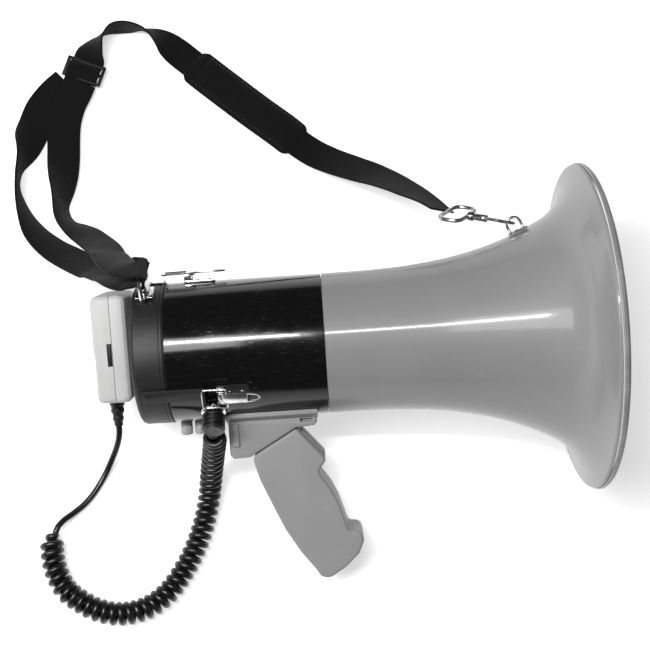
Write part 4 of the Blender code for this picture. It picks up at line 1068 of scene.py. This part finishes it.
LOOP_ROUTE = (
    (-169.5, 232.5, 7, -4), (-173, 224, 5.6, -2), (-178, 213, 4.3, 0), (-181.5, 199, 3.9, 0),
    (-182.5, 184, 4, -3), (-182.6, 170, 5, -10), (-183, 156, 8, -24), (-184, 142, 12, -44),
    (-184.8, 128, 15.5, -64), (-181.5, 114, 20, -58), (-173, 102.5, 28, -38), (-163, 91, 39, -24),
    (-153, 75.3, 59.4, -18), (-149.5, 65, 74.4, -15), (-145.3, 55.1, 88.5, -18), (-140.5, 49.9, 97.3, -30),
    (-135.6, 47.8, 101.2, -36), (-132.3, 47.5, 102.5, -41), (-129.4, 47.3, 102.9, -40),
    (-126.9, 46.6, 102.5, -44), (-125.7, 45.1, 101.1, -74), (-126.3, 43.7, 99.3, -119),
    (-128.3, 42.9, 98, -135), (-131.2, 42.6, 97, -137), (-134.9, 42.4, 95.2, -141),
    (-140, 43.1, 90.4, -149), (-145.1, 46.7, 80.4, -153), (-150.5, 53.5, 67.1, -158),
    (-157.7, 61.9, 52.8, -160), (-164.5, 67.5, 42.5, -160), (-177.5, 78.5, 28.5, -157),
    (-191, 90, 19, -150), (-202.5, 103, 14.2, -138), (-209.8, 117, 13.4, -118), (-214.5, 132, 13.4, -102),
    (-216.5, 147, 13.4, -92), (-214, 162, 13, -100), (-209.5, 178, 8.6, -140), (-204.5, 195, 2.8, -172),
    (-199, 211, 1.6, -180), (-189.5, 224.5, 1.6, -180), (-180, 233.5, 2.8, -180),
)


def tape(name, rows, stands_for):
    """One stretch of webbing with its thickness."""
    made = sizes()
    bm = ribbon(rows, made.webbing_width / 2, 11)
    bm.normal_update()
    mesh = bpy.data.meshes.new(name)
    bm.to_mesh(mesh)
    bm.free()
    mesh.shade_smooth()
    obj = bpy.data.objects.new(name, mesh)
    collection().objects.link(obj)
    wall = obj.modifiers.new("thickness", "SOLIDIFY")
    wall.thickness = made.webbing_thickness
    wall.offset = 0.0
    wall.use_even_offset = True
    edge = obj.modifiers.new("edge", "BEVEL")
    edge.width = 0.3 * MM
    edge.segments = 2
    edge.limit_method = "ANGLE"
    edge.angle_limit = math.radians(60)
    settle(obj, "webbing", stands_for)
    round(run_of(rows), 3)


class MEGAPHONE_OT_strap(bpy.types.Operator):
    """The shoulder strap in its stretches, the pad and the sewing"""

    bl_idname = "megaphone.strap"
    bl_label = "Shoulder strap"

    def execute(self, context):
        made = sizes()
        lift = made.webbing_thickness / 2 + 0.1 * MM
        for name, route, node, held in (
            ("strap_short", FRONT_ROUTE, "strap_front", "hung"),
            ("strap_left", LEFT_ROUTE, "strap_middle", "laid"),
            ("strap_doubled", LOOP_ROUTE, "strap_loop", "hung"),
        ):
            rows = tape_rows(route, 4 if name == "strap_doubled" else 7)
            tape(name, rows, (node,))
        front = tape_rows(FRONT_ROUTE, 7)
        half = made.webbing_width / 2
        seams = stitches(front, (-half + 2 * MM, half - 2 * MM), lift, start=0.02, end=0.2)
        piece("strap_box_stitch", seams, "thread", recalc=False)
        self.pad()
        return {"FINISHED"}

    def pad(self):
        rows = tape_rows(PAD_ROUTE, 9)
        total = run_of(rows)
        half, thick, edge = 16.6 * MM, 7.0 * MM, 1.3 * MM
        bm = bmesh.new()
        cloth = bm.loops.layers.uv.new("cloth")
        stations = 19
        names = [(2 * k / (stations - 1) - 1, 1) for k in range(stations)]
        names += [(1 - 2 * k / (stations - 1), -1) for k in range(stations)]
        run = 0.0
        before, edges, start_edges = None, None, None
        order = {}
        for i, (centre, side, face) in enumerate(rows):
            if before is not None:
                run += (centre - before).length
            before = centre
            t = run / total
            close = eased(min(t, 1 - t) / 0.085)
            wide = half * (0.8 + 0.2 * eased(min(t, 1 - t) / 0.05))
            places = []
            for u, up in names:
                fill = (1 - abs(u) ** 3.2) ** 0.75
                groove = 1 - 0.5 * math.exp(-(((abs(u) - 0.8) / 0.055) ** 2)) * close
                hem = 1 - 0.42 * math.exp(-(((min(t, 1 - t) - 0.075) / 0.016) ** 2))
                wrinkle = noise.noise(Vector((u * 2.1, t * 13.0, up * 3.0))) * 0.14 * fill
                swell = (thick - edge) / 2 * fill * groove * (0.28 + 0.72 * close)
                height = (edge / 2 + swell) * (hem + wrinkle * close)
                places.append(centre + side * u * wide + face * up * height)
            if i == 0:
                verts = [bm.verts.new(place) for place in places]
                edges = [bm.edges.new((verts[k], verts[(k + 1) % len(verts)])) for k in range(len(verts))]
                start_edges = edges
                order = {vert: k for k, vert in enumerate(verts)}
                continue
            grown = bmesh.ops.extrude_edge_only(bm, edges=edges)
            fresh, edges = taken(grown, bmesh.types.BMVert), taken(grown, bmesh.types.BMEdge)
            new_order = {}
            for vert in fresh:
                root = next(e.other_vert(vert) for e in vert.link_edges if e.other_vert(vert) in order)
                new_order[vert] = order[root]
                vert.co = places[order[root]]
            for made_face in taken(grown, bmesh.types.BMFace):
                for loop in made_face.loops:
                    new = loop.vert in new_order
                    k = new_order[loop.vert] if new else order[loop.vert]
                    loop[cloth].uv = (names[k][0] * half, run if new else run - total / len(rows))
            order = new_order
        bmesh.ops.holes_fill(bm, edges=start_edges + edges, sides=len(names))
        bmesh.ops.remove_doubles(bm, verts=bm.verts, dist=1e-6)
        bmesh.ops.recalc_face_normals(bm, faces=bm.faces)
        pad = piece("pad", bm, "pad", stands_for=("shoulder_pad",), smooth=70, recalc=False)
        soft = pad.modifiers.new("soft", "SUBSURF")
        soft.levels = soft.render_levels = 1
        sewn = stitches(rows, (-half * 0.8, half * 0.8), 2.3 * MM, start=0.07, end=0.93)
        piece("pad_stitches", sewn, "thread", recalc=False)


# ---------------------------------------------------------------- stage


CAMERA_PLACE = Vector((-157.11, -186.96, 831.89))
CAMERA_RIGHT = Vector((0.98016, -0.06281, 0.18800))
CAMERA_UP = Vector((0.01246, 0.9661, 0.25784))
CAMERA_BACK = Vector((-0.19782, -0.25038, 0.94772))
FOCAL_LENGTH = 61.93
KEY_DISTANCE, KEY_LEAN = 1.35, math.radians(39)
STREAK_DISTANCE, STREAK_LEAN = 0.95, math.radians(22)


class MEGAPHONE_OT_stage(bpy.types.Operator):
    """The pale floor, the lights and the camera"""

    bl_idname = "megaphone.stage"
    bl_label = "Stage"

    def execute(self, context):
        scene = context.scene
        stage = scene.megaphone_stage
        bm = bmesh.new()
        bmesh.ops.create_grid(bm, x_segments=1, y_segments=1, size=3.0)
        mesh = bpy.data.meshes.new("floor")
        bm.to_mesh(mesh)
        bm.free()
        floor = bpy.data.objects.new("floor", mesh)
        scene.collection.objects.link(floor)
        paper = Finish("floor_paper", roughness=0.75, specular_ior_level=0.2)
        paper.set("Base Color", tuple(stage.floor))
        paper.set("Emission Color", (1.0, 1.0, 1.0))
        paper.set("Emission Strength", stage.glow)
        mesh.materials.append(paper.material)

        lens = bpy.data.cameras.new("camera")
        lens.lens = FOCAL_LENGTH
        lens.sensor_width = 36.0
        lens.clip_start = 0.02
        camera = bpy.data.objects.new("camera", lens)
        turn = Matrix((CAMERA_RIGHT, CAMERA_UP, CAMERA_BACK)).transposed().to_4x4()
        camera.matrix_world = Matrix.Translation(CAMERA_PLACE * MM + FLOOR_MARK) @ turn
        scene.collection.objects.link(camera)
        scene.camera = camera

        key_way = Vector((-math.sin(KEY_LEAN), 0.0, math.cos(KEY_LEAN)))
        key_at = JOINT + key_way * KEY_DISTANCE + Vector((0.02, -0.05, 0))
        self.light("key", key_at, JOINT + Vector((0.02, 0, 0)), (0.45, 0.95), stage.key_power)
        over, up = math.sin(STREAK_LEAN), math.cos(STREAK_LEAN)
        streak_at = JOINT + LYING.to_3x3() @ Vector((-0.24, STREAK_DISTANCE * over, STREAK_DISTANCE * up))
        streak = self.light("streak", streak_at, JOINT, (0.6, 0.04), stage.streak_power)
        along = LYING.to_3x3() @ Vector((1, 0, 0))
        facing = LYING.to_3x3() @ Vector((0, over, up))
        streak.matrix_world = (
            Matrix.Translation(streak_at) @ Matrix((along, facing.cross(along), facing)).transposed().to_4x4()
        )

        world = bpy.data.worlds.new("surround")
        scene.world = world
        world.use_nodes = True
        surround = world.node_tree.nodes["Background"].inputs
        surround["Color"].default_value = (1, 1, 1, 1)
        surround["Strength"].default_value = stage.fill
        scene.view_settings.view_transform = "Standard"
        return {"FINISHED"}

    def light(self, name, place, target, size, power):
        lamp = bpy.data.lights.new(name, "AREA")
        lamp.shape = "RECTANGLE"
        lamp.size, lamp.size_y = size
        lamp.energy = power
        obj = bpy.data.objects.new(name, lamp)
        obj.matrix_world = aimed(place, place - target)
        bpy.context.scene.collection.objects.link(obj)
        return obj


# ---------------------------------------------------------------- add-on


STEPS = (
    MEGAPHONE_OT_stage,
    MEGAPHONE_OT_cord,
    MEGAPHONE_OT_bell,
    MEGAPHONE_OT_barrel,
    MEGAPHONE_OT_grip,
    MEGAPHONE_OT_latches,
    MEGAPHONE_OT_knobs,
    MEGAPHONE_OT_microphone,
    MEGAPHONE_OT_strap,
    MEGAPHONE_OT_strap_fittings,
    MEGAPHONE_OT_insides,
)


class MEGAPHONE_PT_panel(bpy.types.Panel):
    """Sizes, colours and the operators that build each group of pieces"""

    bl_idname = "MEGAPHONE_PT_panel"
    bl_label = "Megaphone"
    bl_space_type = "VIEW_3D"
    bl_region_type = "UI"
    bl_category = "Megaphone"

    def draw(self, context):
        layout = self.layout
        scene = context.scene
        for group in (scene.megaphone_sizes, scene.megaphone_colours, scene.megaphone_stage):
            box = layout.box()
            for name in group.bl_rna.properties.keys():
                if name not in ("rna_type", "name"):
                    box.prop(group, name)
        for step in STEPS:
            layout.operator(step.bl_idname)


CLASSES = (MegaphoneSizes, MegaphoneColours, StageSettings, *STEPS, MEGAPHONE_PT_panel)


def register():
    for made in CLASSES:
        bpy.utils.register_class(made)
    bpy.types.Scene.megaphone_sizes = bpy.props.PointerProperty(type=MegaphoneSizes)
    bpy.types.Scene.megaphone_colours = bpy.props.PointerProperty(type=MegaphoneColours)
    bpy.types.Scene.megaphone_stage = bpy.props.PointerProperty(type=StageSettings)


def unregister():
    del bpy.types.Scene.megaphone_stage
    del bpy.types.Scene.megaphone_colours
    del bpy.types.Scene.megaphone_sizes
    for made in reversed(CLASSES):
        bpy.utils.unregister_class(made)


def main():
    register()
    for step in STEPS:
        group, name = step.bl_idname.split(".")
        getattr(getattr(bpy.ops, group), name)()


if __name__ == "__main__":
    main()
